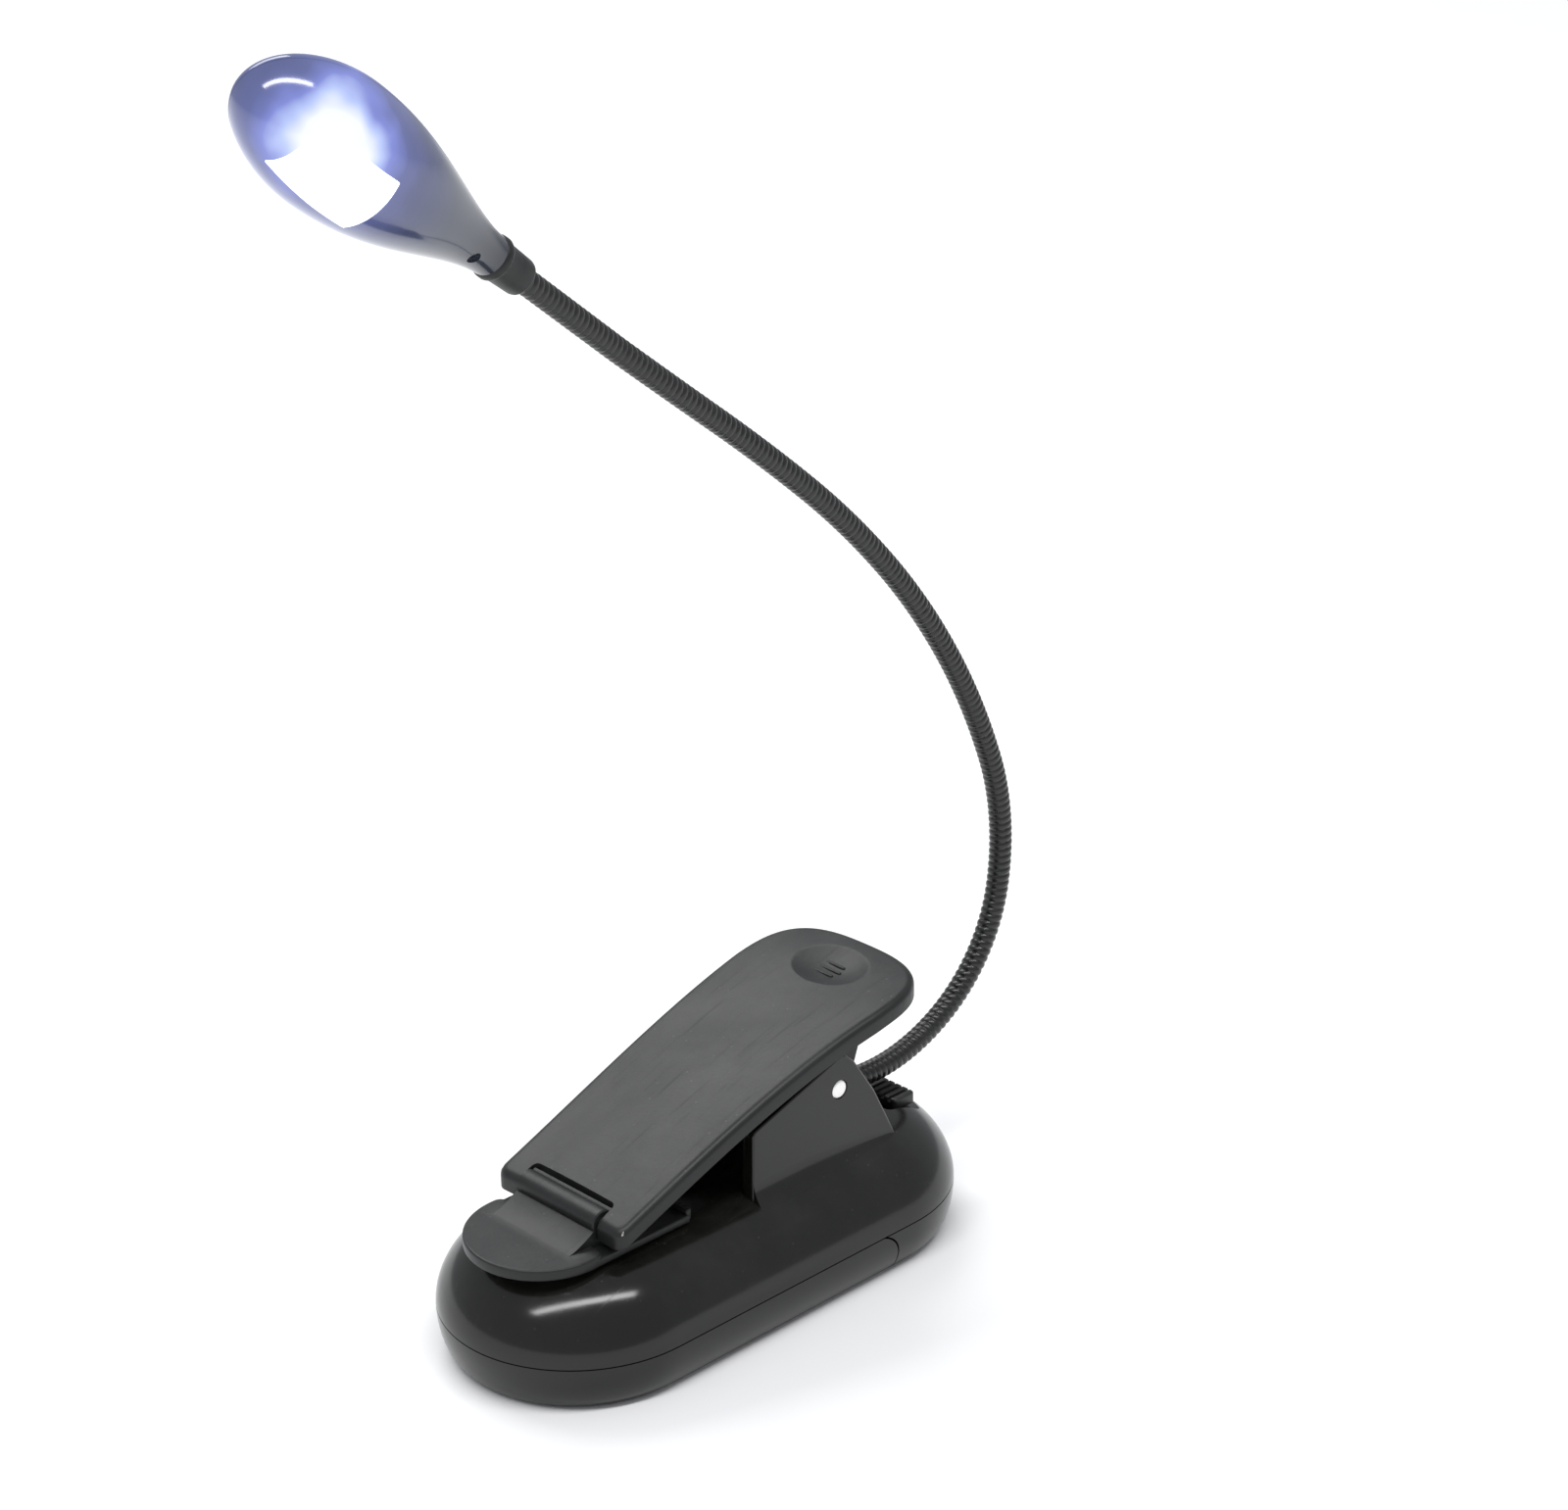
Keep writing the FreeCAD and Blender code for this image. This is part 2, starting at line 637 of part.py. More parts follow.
def build_lever():
    plate = common("lever_plate", lever_side(), lever_plan("lever_shape", "0"))
    under = slab("lever_under", "XZ_Plane",
                 [("-20", front_run("-20", "lever_depth + 3")), ("-20", front_run("-20", "lever_skin")),
                  ("lever_knee", f"{KNEE_Z} - lever_skin"), ("lever_rear + 1", rear_run("lever_rear + 1", "lever_skin")),
                  ("lever_rear + 1", rear_run("lever_rear + 1", "lever_depth + 4")),
                  ("lever_knee", f"{KNEE_Z} - lever_depth - 4")], "lever_width - 2 * lever_skin")
    hollow = common("lever_hollow", under, lever_plan("lever_inside", "lever_skin"))
    outline = [("pivot_x - 10", rear_run("pivot_x - 10", "lever_skin / 2")),
               ("pivot_x + 9.3", rear_run("pivot_x + 9.3", "lever_skin / 2")),
               ("pivot_x + 5.6", "pivot_z + 1.5"), ("pivot_x + 4.0", "pivot_z - 2.2"),
               ("pivot_x + 1.6", "pivot_z - 4.2"), ("pivot_x - 1.8", "pivot_z - 4.2"),
               ("pivot_x - 4.4", "pivot_z - 1.8")]
    lugs = [slab(f"lug_{name}", "XZ_Plane", outline, "lug_thick", f"{side} * ({LUG_OUT} - lug_thick / 2)")
            for name, side in (("right", "1"), ("left", "-1"))]
    arms = [rod(f"arm_eye_{name}", "knuckle_radius", "lever_width / 2 - notch_half", "pad_pin_x", low,
                "pad_pin_z", "y") for name, low in (("right", "-lever_width / 2"), ("left", "notch_half"))]
    notch = block("lever_notch", ("lever_front - 3", "lever_front + notch_depth"), ("-notch_half", "notch_half"),
                  ("base_height - 2", "lever_front_top + 6"))
    pivot = rod("lever_bore", "pivot_radius + pivot_fit", "2 * cheek_outer + 4", "pivot_x", "-cheek_outer - 2",
                "pivot_z", "y")
    pin = rod("lever_pad_bore", "pad_pin_radius + 0.02", "lever_width + 4", "pad_pin_x", "-lever_width / 2 - 2",
              "pad_pin_z", "y")
    thumb = doc.addObject("Part::Ellipsoid", "thumb_dimple")
    tie(thumb, "Radius1", "1.3")
    tie(thumb, "Radius2", "4.2")
    tie(thumb, "Radius3", "6.0")
    place(thumb, "dimple_x", "0", rear_run("dimple_x", "-0.2"))
    shell = cut("lever_shell", plate, hollow, notch, thumb)
    ribs = [block(f"thumb_rib_{step + 1}", (f"dimple_x + {step} * 1.9 - 0.35", f"dimple_x + {step} * 1.9 + 0.35"),
                  ("-3.4", "3.4"), (rear_run("dimple_x", "1.5"), rear_run("dimple_x", "0.7")))
            for step in (-1, 0, 1)]
    return cut("lever_cut", fuse("lever_solid", shell, *lugs, *arms, *ribs), pivot, pin)


PAD_LOW = "base_height + pad_rest"
PAD_TOP = "base_height + pad_rest + pad_thick"


def build_pad():
    """The swivelling jaw: a half-round nose, a knuckle in the lever's notch and a heel under the arms."""
    nose = coded("pad_nose", Part.Face(Part.Wire([
        Part.Ellipse(Vector(value("pad_pin_x - 1.6"), 0, value(PAD_LOW)), value("pad_pin_x - 1.6 - pad_front"),
                     value("pad_nose_half")).toShape()])).extrude(Vector(0, 0, value("pad_thick"))))
    heel = block("pad_heel", ("pad_pin_x - 1.8", "pad_rear"), ("-lever_width / 2 + 0.2", "lever_width / 2 - 0.2"),
                 (PAD_LOW, f"{PAD_LOW} + 0.9"))
    middle = block("pad_middle", ("pad_pin_x", "pad_rear"), ("-pad_nose_half + 1", "pad_nose_half - 1"),
                   (PAD_LOW, f"{PAD_LOW} + 0.9"))
    knuckle = rod("pad_knuckle", "knuckle_radius", "2 * notch_half - 2 * side_gap", "pad_pin_x",
                  "-notch_half + side_gap", "pad_pin_z", "y")
    web = block("pad_web", ("pad_pin_x - knuckle_radius", "pad_pin_x + 1.6"),
                ("-notch_half + side_gap", "notch_half - side_gap"), (PAD_LOW, "pad_pin_z"))
    bore = rod("pad_bore", "pad_pin_radius + pivot_fit", "lever_width", "pad_pin_x", "-lever_width / 2",
               "pad_pin_z", "y")
    return cut("pad_cut", fuse("pad_solid", nose, heel, middle, knuckle, web), bore)


def build_torsion_spring():
    """A wire coil round the pivot pin with one leg under the lever and one on the base."""
    coil, wire = value("spring_coil"), value("spring_wire")
    pitch, turns = value("spring_pitch"), int(value("spring_turns"))
    centre = Vector(value("pivot_x"), 0, value("pivot_z"))
    reach_x = value("pivot_x + 7.8")
    reach = Vector(reach_x, 0, value(rear_run(reach_x, "lever_skin + spring_wire + 0.2"))) - centre
    run = math.sqrt(reach.Length ** 2 - coil ** 2)
    lean = math.atan2(reach.z, reach.x) - math.atan2(coil, run)
    sweep = 2 * math.pi * (turns + 0.5) - lean
    height = pitch * sweep / (2 * math.pi)
    first, last = Vector(coil, 0, 0), Vector(coil * math.cos(sweep), coil * math.sin(sweep), height)
    rise = pitch / (2 * math.pi)
    into = Vector(0, coil, rise).normalize()
    out = Vector(-coil * math.sin(sweep), coil * math.cos(sweep), rise).normalize()
    tail = first - into * 7.5
    edges = [Part.makeLine(tail, first)] + Part.makeHelix(pitch, height, coil).Edges
    edges.append(Part.makeLine(last, last + out * run))
    section = Part.Wire([Part.Circle(tail, into, wire).toShape()])
    wound = Part.Wire(edges).makePipeShell([section], True, True)
    turn = FreeCAD.Rotation(Vector(0, 0, -1), Vector(-1, 0, 0), Vector(0, 1, 0), "XYZ")
    spring = coded("torsion_spring", wound)
    spring.Placement = FreeCAD.Placement(centre - Vector(0, height / 2, 0), turn)
    return spring


# ---------------------------------------------------------------- gooseneck

def neck_frames():
    """A frame at the start of each link, x along the tube and y to the left, and one at the very end."""
    length = value("neck_link")
    frame = FreeCAD.Placement(neck_start, FreeCAD.Rotation(Vector(0, 1, 0), -value("neck_heading")))
    frames = []
    for number in range(1, LINKS + 1):
        if number == LINKS:
            frame = frame * FreeCAD.Placement(Vector(), FreeCAD.Rotation(Vector(0, 0, 1), -value("head_yaw")))
        frames.append(frame)
        bend = math.radians(value(f"bend_{number}"))
        chord = length if abs(bend) < 1e-6 else 2 * length / bend * math.sin(bend / 2)
        step = Vector(math.cos(bend / 2), 0, math.sin(bend / 2)) * chord
        frame = frame * FreeCAD.Placement(step, FreeCAD.Rotation(Vector(0, 1, 0), -math.degrees(bend)))
    return frames, frame


def bent_rod(radius, bend, skip_start, skip_end):
    """A rod along one link's arc in the link's own frame, shortened at each end by a length."""
    length, along = value("neck_link"), Vector(1, 0, 0)
    run = length - skip_start - skip_end
    if abs(bend) < 1e-6:
        return Part.makeCylinder(radius, run, along * skip_start, along)
    bend_radius = length / math.radians(bend)
    centre, spin = Vector(0, 0, bend_radius), Vector(0, -1, 0)
    disc = Part.Face(Part.Wire([Part.Circle(Vector(), along, radius).toShape()]))
    disc.rotate(centre, spin, math.degrees(skip_start / bend_radius))
    return disc.revolve(centre, spin, math.degrees(run / bend_radius))


def bent_plug(radius, bend):
    """The straight end of the last link, through the collar and into the head."""
    length, turn = value("neck_link"), math.radians(bend)
    chord = length if abs(turn) < 1e-6 else 2 * length / turn * math.sin(turn / 2)
    end = Vector(math.cos(turn / 2), 0, math.sin(turn / 2)) * chord
    return Part.makeCylinder(radius, value("collar_length + 1.5"), end, Vector(math.cos(turn), 0, math.sin(turn)))


def build_neck():
    """Each link is one arc of the coil-wound tube, with its stretch of lead inside."""
    frames, _ = neck_frames()
    gap, insert = value("neck_gap") / 2, value("neck_insert")
    outer, bore, lead = value("neck_radius"), value("neck_bore"), value("lead_radius")
    for number, frame in enumerate(frames, start=1):
        bend = value(f"bend_{number}")
        start, end = (0 if number == 1 else gap), (0 if number == LINKS else gap)
        tube = bent_rod(outer, bend, start, end)
        core = bent_rod(bore, bend, start, end)
        wire = bent_rod(lead, bend, start / 2, end / 2)
        if number == LINKS:
            tube = tube.fuse(bent_plug(outer, bend))
            core = core.fuse(bent_plug(bore, bend))
            wire = wire.fuse(bent_plug(lead, bend))
        if number == 1:
            tube = tube.fuse(Part.makeCylinder(outer, insert, Vector(-insert, 0, 0), Vector(1, 0, 0)))
            core = core.fuse(Part.makeCylinder(bore, insert, Vector(-insert, 0, 0), Vector(1, 0, 0)))
            wire = wire.fuse(lead_down(frame, lead, insert + value("lead_turn")))
        for name, shape in ((f"gooseneck_link_{number}", tube.cut(core)), (f"lead_wire_{number}", wire)):
            thing = coded(name + "_solid", shape)
            thing.Placement = frame
            keep(name, thing)


def lead_down(frame, radius, back):
    """The lead's tail: back through the plug, round an elbow and down to the board."""
    elbow = Vector(-back, 0, 0)
    down = frame.inverse().Rotation.multVec(Vector(0, 0, -1))
    drop = value(f"{LEAD_TURN_Z} - board_height - board_thick")
    tail = Part.makeCylinder(radius, back, elbow, Vector(1, 0, 0))
    return tail.fuse([Part.makeSphere(radius, elbow), Part.makeCylinder(radius, drop, elbow, down)])


# ---------------------------------------------------------------- lamp head

def head_placement():
    """The head's own frame: x from the neck to the tip, z out of the window."""
    _, end = neck_frames()
    ahead = Vector(value("collar_length - collar_cover"), 0, 0)
    return end * FreeCAD.Placement(ahead, FreeCAD.Rotation(Vector(1, 0, 0), value("head_roll")))


def swell(share):
    """How full the head is at a share of its length: 0 at the neck, 1 at its widest, 0 at the tip."""
    fullest = value("head_fullest")
    if share < fullest:
        return 0.5 - 0.5 * math.cos(math.pi * (share / fullest) ** 0.92)
    return math.sqrt(max(0.0, 1 - ((share - fullest) / (1 - fullest)) ** 2))


def head_radii(share, inset):
    """Half width, belly depth and back depth of the head's section."""
    neck, full, fullest = value("head_neck"), swell(share), value("head_fullest")
    sizes = []
    for alias in ("head_half_width", "head_belly", "head_back"):
        size = value(alias)
        radius = neck + (size - neck) * full if share < fullest else size * full
        sizes.append(max(radius - inset, 0.35))
    return sizes


def half_section(x, width, depth):
    """A closed wire: half an ellipse from side to side, and the line that closes it."""
    spots = [Vector(x, width * math.cos(math.pi * step / 12), depth * math.sin(math.pi * step / 12))
             for step in range(13)]
    curve = Part.BSplineCurve()
    curve.interpolate(spots)
    return Part.Wire([curve.toShape(), Part.LineSegment(spots[-1], spots[0]).toShape()])


def half_pod(side, inset):
    """Half of the head's pod, solid: its belly (side 1) or its back (side -1)."""
    length = value("head_length")
    first, last = (0.0, 0.996) if inset == 0 else (0.0, 0.996 - inset / length)
    shares = [first + (last - first) * (1 - (1 - step / 11) ** 1.6) for step in range(12)]
    wires = []
    for share in shares:
        width, belly, back = head_radii(share, inset)
        wires.append(half_section(share * length, width, side * (belly if side > 0 else back)))
    return Part.makeLoft(wires, True, False)


def head_part(name, shape):
    thing = coded(name, shape)
    thing.Placement = head_placement()
    return keep(name, thing)


def build_head():
    length, neck, wall = value("head_length"), value("head_neck"), value("head_wall")
    centre, long, wide = value("window_centre"), value("window_length"), value("window_width")
    gap, belly = value("lens_gap"), value("head_belly")
    collar, radius = value("collar_length"), value("collar_radius")
    ahead = Vector(1, 0, 0)

    front = half_pod(1, 0)
    back = half_pod(-1, 0)
    hollow_front, hollow_back = half_pod(1, wall), half_pod(-1, wall)
    window = Part.makeBox(long, wide, belly, Vector(centre - long / 2, -wide / 2, wall))
    screw_at = value("head_screw_at")
    screw_seat = value("head_neck") - 0.9
    sink = Part.makeCylinder(0.95, 6, Vector(screw_at, 0, screw_seat), Vector(0, 0, 1))
    thread = Part.makeCylinder(0.55, 6, Vector(screw_at, 0, -2.2), Vector(0, 0, 1))
    socket = Part.makeCylinder(value("neck_radius") + value("neck_fit"), 3.0, Vector(-0.5, 0, 0), ahead)
    socket.rotate(Vector(), ahead, 45)
    front_shell = front.cut(hollow_front).cut(window).fuse(
        Part.makeCylinder(1.5, screw_seat, Vector(screw_at, 0, 0), Vector(0, 0, 1)).common(front))
    front_shell = front_shell.cut(sink).cut(thread).cut(socket)
    back_shell = back.cut(hollow_back).fuse(
        Part.makeCylinder(1.5, 3, Vector(screw_at, 0, -3), Vector(0, 0, 1)).common(back))
    for side in (-1, 1):
        post = Part.makeCylinder(value("board_post"), value("head_back + head_board_depth"),
                                 Vector(centre + side * long / 4, 0, -value("head_back")), Vector(0, 0, 1))
        back_shell = back_shell.fuse(post.common(back.fuse(front)))
    back_shell = back_shell.cut(thread).cut(socket)
    head_part("head_front_shell", front_shell)
    head_part("head_back_shell", back_shell)

    lens_room = Part.makeBox(long - 2 * gap, wide - 2 * gap, belly + 2,
                             Vector(centre - long / 2 + gap, -wide / 2 + gap, wall))
    lens = front.cut(half_pod(1, value("lens_thick"))).common(lens_room)
    head_part("head_lens", lens)

    board_z = value("head_board_depth")
    board = Part.makeBox(long + 1.0, wide - 0.6, 0.8, Vector(centre - long / 2 - 2.0, 0.3 - wide / 2, board_z))
    head_part("led_board", board)
    cup = Part.makeBox(long - 0.6, wide - 0.6, 3.2, Vector(centre - long / 2 + 0.3, -wide / 2 + 0.3, board_z + 0.8))
    tray = Part.makeBox(long - 1.8, wide - 1.8, 3.4, Vector(centre - long / 2 + 0.9, -wide / 2 + 0.9, board_z + 0.8))
    head_part("head_reflector", cup.cut(tray).common(half_pod(1, value("lens_thick + 0.2"))))
    size, thick, pitch = value("led_size"), value("led_thick"), value("led_pitch")
    for number, side in ((1, -1), (2, 1)):
        chip = Part.makeBox(size, size, thick,
                            Vector(centre + side * pitch / 2 - size / 2, -size / 2, board_z + 0.8))
        head_part(f"led_{number}", chip)

    stand_off = Part.makeCylinder(radius, collar, Vector(-collar, 0, 0), ahead)
    lip = Part.makeCylinder(neck + 0.25, 1.2, Vector(-1.2, 0, 0), ahead)
    bore = Part.makeCylinder(value("neck_radius") + value("neck_fit"), collar + 4, Vector(-collar - 1, 0, 0), ahead)
    head_part("head_collar", stand_off.fuse(lip).cut(bore))
    head = Part.makeCylinder(0.9, 0.7, Vector(screw_at, 0, screw_seat), Vector(0, 0, 1))
    shank = Part.makeCylinder(0.5, screw_seat + 1.8, Vector(screw_at, 0, -1.8), Vector(0, 0, 1))
    cross = Part.makeBox(1.2, 0.25, 0.5, Vector(screw_at - 0.6, -0.125, screw_seat + 0.4))
    head_part("head_screw", head.fuse(shank).cut(cross))
    return length


# ---------------------------------------------------------------- build and write

keep("upper_housing", build_upper_housing())
keep("lower_housing", build_lower_housing())
keep("battery_door", build_battery_door())
keep("battery_tray", build_tray())
for index in range(CELLS):
    keep(f"battery_cell_{index + 1}", build_cell(index))
    keep(f"contact_spring_{index + 1}", build_contact_spring(index))
keep("front_contact_strip", build_contact_plate("front_strip", "bay_front - plate_thick", "bay_front"))
keep("rear_contact_strip", build_contact_plate("rear_strip", BAY_REAR, f"{BAY_REAR} + plate_thick"))
keep("housing_screws", build_screws())
keep("circuit_board", build_board())
keep("switch_body", build_switch_body())
keep("switch_slider", build_switch_slider())
keep("clip_lever", build_lever())
keep("pivot_pin", rod("pin", "pivot_radius", "2 * cheek_outer", "pivot_x", "-cheek_outer", "pivot_z", "y"))
keep("clip_pad", build_pad())
keep("pad_pin", rod("pad_rod", "pad_pin_radius", "lever_width - 1", "pad_pin_x", "-(lever_width - 1) / 2",
                    "pad_pin_z", "y"))
keep("torsion_spring", build_torsion_spring())
build_neck()
build_head()
doc.recompute()

for item in doc.Objects:
    if "Invalid" in item.State or "Error" in item.State:
        raise RuntimeError(f"{item.Name} is {item.State}")
os.makedirs("parts", exist_ok=True)
for name, thing in parts.items():
    shape = thing.Shape
    if shape.isNull() or not shape.isValid():
        raise RuntimeError(f"{name} has no valid shape")
    shape.exportStep(f"parts/{name}.step")
    print(f"{name}: {len(shape.Solids)} solid(s), {shape.Volume:.1f} mm3")
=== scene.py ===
# %% [markdown]
# # A clip-on reading lamp
# The lamp has a battery base that stands on the table, a sprung clip on its back, a bendable
# gooseneck and a teardrop head that shines white. The CAD model arrives as a fixed frame of
# nodes and bodies. Here each part that shows gets a smooth skin, and everything gets a finish.
# Shapes are worked out in millimetres and put into the meshes in metres.

# %% Load the frame
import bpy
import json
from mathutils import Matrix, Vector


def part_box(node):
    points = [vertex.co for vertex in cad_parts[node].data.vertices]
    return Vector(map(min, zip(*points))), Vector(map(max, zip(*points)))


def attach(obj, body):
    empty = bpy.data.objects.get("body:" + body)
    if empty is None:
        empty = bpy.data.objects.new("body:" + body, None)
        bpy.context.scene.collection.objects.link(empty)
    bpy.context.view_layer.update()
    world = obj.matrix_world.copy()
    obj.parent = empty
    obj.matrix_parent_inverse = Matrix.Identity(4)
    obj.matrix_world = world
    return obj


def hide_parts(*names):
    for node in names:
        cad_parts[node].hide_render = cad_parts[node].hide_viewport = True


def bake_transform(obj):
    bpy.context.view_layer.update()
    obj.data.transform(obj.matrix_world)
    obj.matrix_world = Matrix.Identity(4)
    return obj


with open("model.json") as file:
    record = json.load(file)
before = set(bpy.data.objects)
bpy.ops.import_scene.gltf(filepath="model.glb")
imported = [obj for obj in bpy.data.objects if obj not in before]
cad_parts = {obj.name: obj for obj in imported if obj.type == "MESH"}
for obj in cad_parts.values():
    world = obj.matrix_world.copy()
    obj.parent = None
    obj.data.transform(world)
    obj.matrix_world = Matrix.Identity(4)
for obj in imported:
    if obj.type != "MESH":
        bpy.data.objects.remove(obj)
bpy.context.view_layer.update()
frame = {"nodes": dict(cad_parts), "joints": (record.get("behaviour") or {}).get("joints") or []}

import json
import math

import bmesh
import bpy
import numpy as np
from mathutils import Matrix, Vector

MM = 0.001


def node_box(name):
    """A CAD node's low and high corners in millimetres."""
    return tuple(np.array(corner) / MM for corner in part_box(name))


# %% [markdown]
# The camera stands in front of the lamp, to its right and a little above it, and looks down
# at it through a long lens. It could be aimed with a Track To constraint, but three axis
# vectors give the same view exactly and leave nothing to update.

# %% Camera
view_right = Vector((0.71762, -0.69628, -0.01456))
view_up = Vector((0.28412, 0.27361, 0.91892))
view_back = view_right.cross(view_up)
camera_data = bpy.data.cameras.new("view")
camera_data.sensor_width = 36.0
camera_data.lens = 83.25
camera_data.clip_start = 0.01
camera = bpy.data.objects.new("view", camera_data)
bpy.context.scene.collection.objects.link(camera)
turn = Matrix((view_right, view_up, view_back)).transposed().to_4x4()
camera.matrix_world = Matrix.Translation((-0.31487, -0.34785, 0.28580)) @ turn
bpy.context.scene.camera = camera
print("camera at", [round(c, 3) for c in camera.location], "lens", camera_data.lens)

# %% [markdown]
# Nearly every shape here is a grid of points: rows along one way of the surface, columns along
# the other. A grid could be made with Blender's own primitives and edited, but an array holds
# the whole surface at once, and its faces are only index sums. The helper below turns the
# grid's rows and columns into quads.

# %% Quads of a grid
def grid_faces(rows, columns, around=False, first=0):
    """Quads between neighbouring rows and columns; around joins the last column to the first."""
    last = columns if around else columns - 1
    row, column = np.meshgrid(np.arange(rows - 1), np.arange(last), indexing="ij")
    after = (column + 1) % columns
    quads = np.stack([row * columns + column, row * columns + after,
                      (row + 1) * columns + after, (row + 1) * columns + column], axis=-1)
    return (first + quads.reshape(-1, 4)).tolist()


print("a 3 by 4 grid has", len(grid_faces(3, 4)), "quads")

# %% [markdown]
# A piece starts as bare points and faces. Where a surface closes in a pole or a seam, points
# coincide, so they are merged, and the normals are then turned outwards. Faces are smooth, and
# only an edge that turns by more than an angle stays sharp.

# %% Points and faces into a finished piece
def new_mesh(name, points, faces, sharp=40.0):
    """A mesh in metres from points in millimetres, merged, turned outwards and smooth."""
    mesh = bpy.data.meshes.new(name)
    mesh.from_pydata((np.asarray(points, float).reshape(-1, 3) * MM).tolist(), [], faces)
    clean_mesh(mesh, sharp)
    return mesh


def clean_mesh(mesh, sharp):
    """Merges points that coincide and smooths every edge that turns by less than an angle."""
    work = bmesh.new()
    work.from_mesh(mesh)
    bmesh.ops.remove_doubles(work, verts=work.verts, dist=2e-7)
    bmesh.ops.dissolve_degenerate(work, edges=work.edges, dist=1e-7)
    bmesh.ops.recalc_face_normals(work, faces=work.faces)
    work.to_mesh(mesh)
    work.free()
    mesh.shade_smooth()
    mesh.set_sharp_from_angle(angle=math.radians(sharp))


def new_object(name, mesh):
    thing = bpy.data.objects.new(name, mesh)
    bpy.context.scene.collection.objects.link(thing)
    return thing


def finish_piece(thing, material, slot, body=None):
    """Gives a piece its material and lets it ride on a body; the slot argument is not used."""
    thing.data.materials.clear()
    thing.data.materials.append(material)
    if body:
        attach(thing, body)
    thing.data.update()
    print(f"{thing.name}: {len(thing.data.polygons)} faces")
    return thing


def combine(thing, tools, operation, sharp=40.0):
    """Cuts the tools out of a solid, joins them to it, or keeps what they share."""
    for tool in tools:
        modifier = thing.modifiers.new(operation.lower(), "BOOLEAN")
        modifier.operation = operation
        modifier.solver = "EXACT"
        modifier.object = tool
    bpy.context.view_layer.update()
    result = thing.evaluated_get(bpy.context.evaluated_depsgraph_get())
    mesh = bpy.data.meshes.new_from_object(result)
    thing.modifiers.clear()
    thing.data = mesh
    clean_mesh(mesh, sharp)
    for tool in tools:
        bpy.data.objects.remove(tool)
    return thing


# %% [markdown]
# Moulded plastic parts are mostly plates with rolled rims. An outline is first given rounded
# corners, then carried through a few rings: each ring is the outline moved inwards by an
# inset, at its own height. The last ring is closed by one flat face.

# %% Outlines with rounded corners
def rounded_outline(corners, radii, steps=7):
    """Each corner becomes an arc that touches both of its sides, at radius / tan(half the corner) from it."""
    corners = np.asarray(corners, float)
    radii = np.broadcast_to(radii, len(corners))
    points = []
    for index, radius in enumerate(radii):
        corner = corners[index]
        back, ahead = corners[index - 1] - corner, corners[(index + 1) % len(corners)] - corner
        back, ahead = back / np.linalg.norm(back), ahead / np.linalg.norm(ahead)
        half = math.acos(float(np.clip(back @ ahead, -1, 1))) / 2
        middle = (back + ahead) / np.linalg.norm(back + ahead)
        centre = corner + middle * radius / math.sin(half)
        start = corner + back * radius / math.tan(half) - centre
        end = corner + ahead * radius / math.tan(half) - centre
        share = np.linspace(0, 1, steps)[:, None]
        whole = math.pi - 2 * half
        arc = (np.sin((1 - share) * whole) * start + np.sin(share * whole) * end) / math.sin(whole)
        points.append(centre + arc)
    return np.concatenate(points)


def outward(outline):
    """Unit normals of a closed outline, from the line between each point's neighbours."""
    along = np.roll(outline, -1, axis=0) - np.roll(outline, 1, axis=0)
    normal = np.stack([along[:, 1], -along[:, 0]], axis=1)
    normal /= np.maximum(np.linalg.norm(normal, axis=1, keepdims=True), 1e-12)
    ahead = np.roll(outline, -1, axis=0)
    area = np.sum(outline[:, 0] * ahead[:, 1] - outline[:, 1] * ahead[:, 0])
    return normal if area > 0 else -normal


RIM_STEPS = 5
RING_INSET = 1.25


def rolled_rim(height, edge):
    """Rows of (inset, height) that roll over a lower rim, rise and roll over the upper rim."""
    angle = np.linspace(0, math.pi / 2, RIM_STEPS)
    inset, rise = edge * (1 - np.sin(angle)), edge * (1 - np.cos(angle))
    low = np.stack([inset, rise], axis=1)
    high = np.stack([inset[::-1], height - rise[::-1]], axis=1)
    innermost = edge * RING_INSET
    return np.concatenate([[[innermost, 0]], low, high, [[innermost, height]]])


TO_SPACE = {"z": (0, 1, 2), "y": (0, 2, 1), "x": (2, 0, 1)}


def plate(name, outline, low, high, edge, axis="z"):
    """A plate between two heights along an axis, with rolled rims."""
    rows = rolled_rim(high - low, edge)
    normal = outward(outline)
    flat = outline[None] - normal[None] * rows[:, 0, None, None]
    height = np.broadcast_to(rows[:, 1, None, None] + low, flat.shape[:2] + (1,))
    points = np.concatenate([flat, height], axis=2)[:, :, np.argsort(TO_SPACE[axis])]
    count = len(outline)
    faces = grid_faces(len(rows), count, around=True)
    faces += [list(range(count)), list(range((len(rows) - 1) * count, len(rows) * count))]
    return new_object(name, new_mesh(name, points, faces, 50.0))


def prism(name, outline, low, high):
    """A side view carried straight along y, with flat ends."""
    levels = np.array([low, high])[:, None, None]
    flat = np.broadcast_to(outline[None], (2,) + outline.shape)
    points = np.concatenate([flat, np.broadcast_to(levels, (2, len(outline), 1))], axis=2)
    count = len(outline)
    faces = grid_faces(2, count, around=True) + [list(range(count)), list(range(count, 2 * count))]
    return new_object(name, new_mesh(name, points[:, :, np.argsort(TO_SPACE["y"])], faces, 35.0))


def box(name, low, high, edge):
    """A block between two corners."""
    (x0, y0, z0), (x1, y1, z1) = low, high
    outline = rounded_outline([(x0, y0), (x1, y0), (x1, y1), (x0, y1)], edge * 1.5, 4)
    return plate(name, outline, z0, z1, edge)


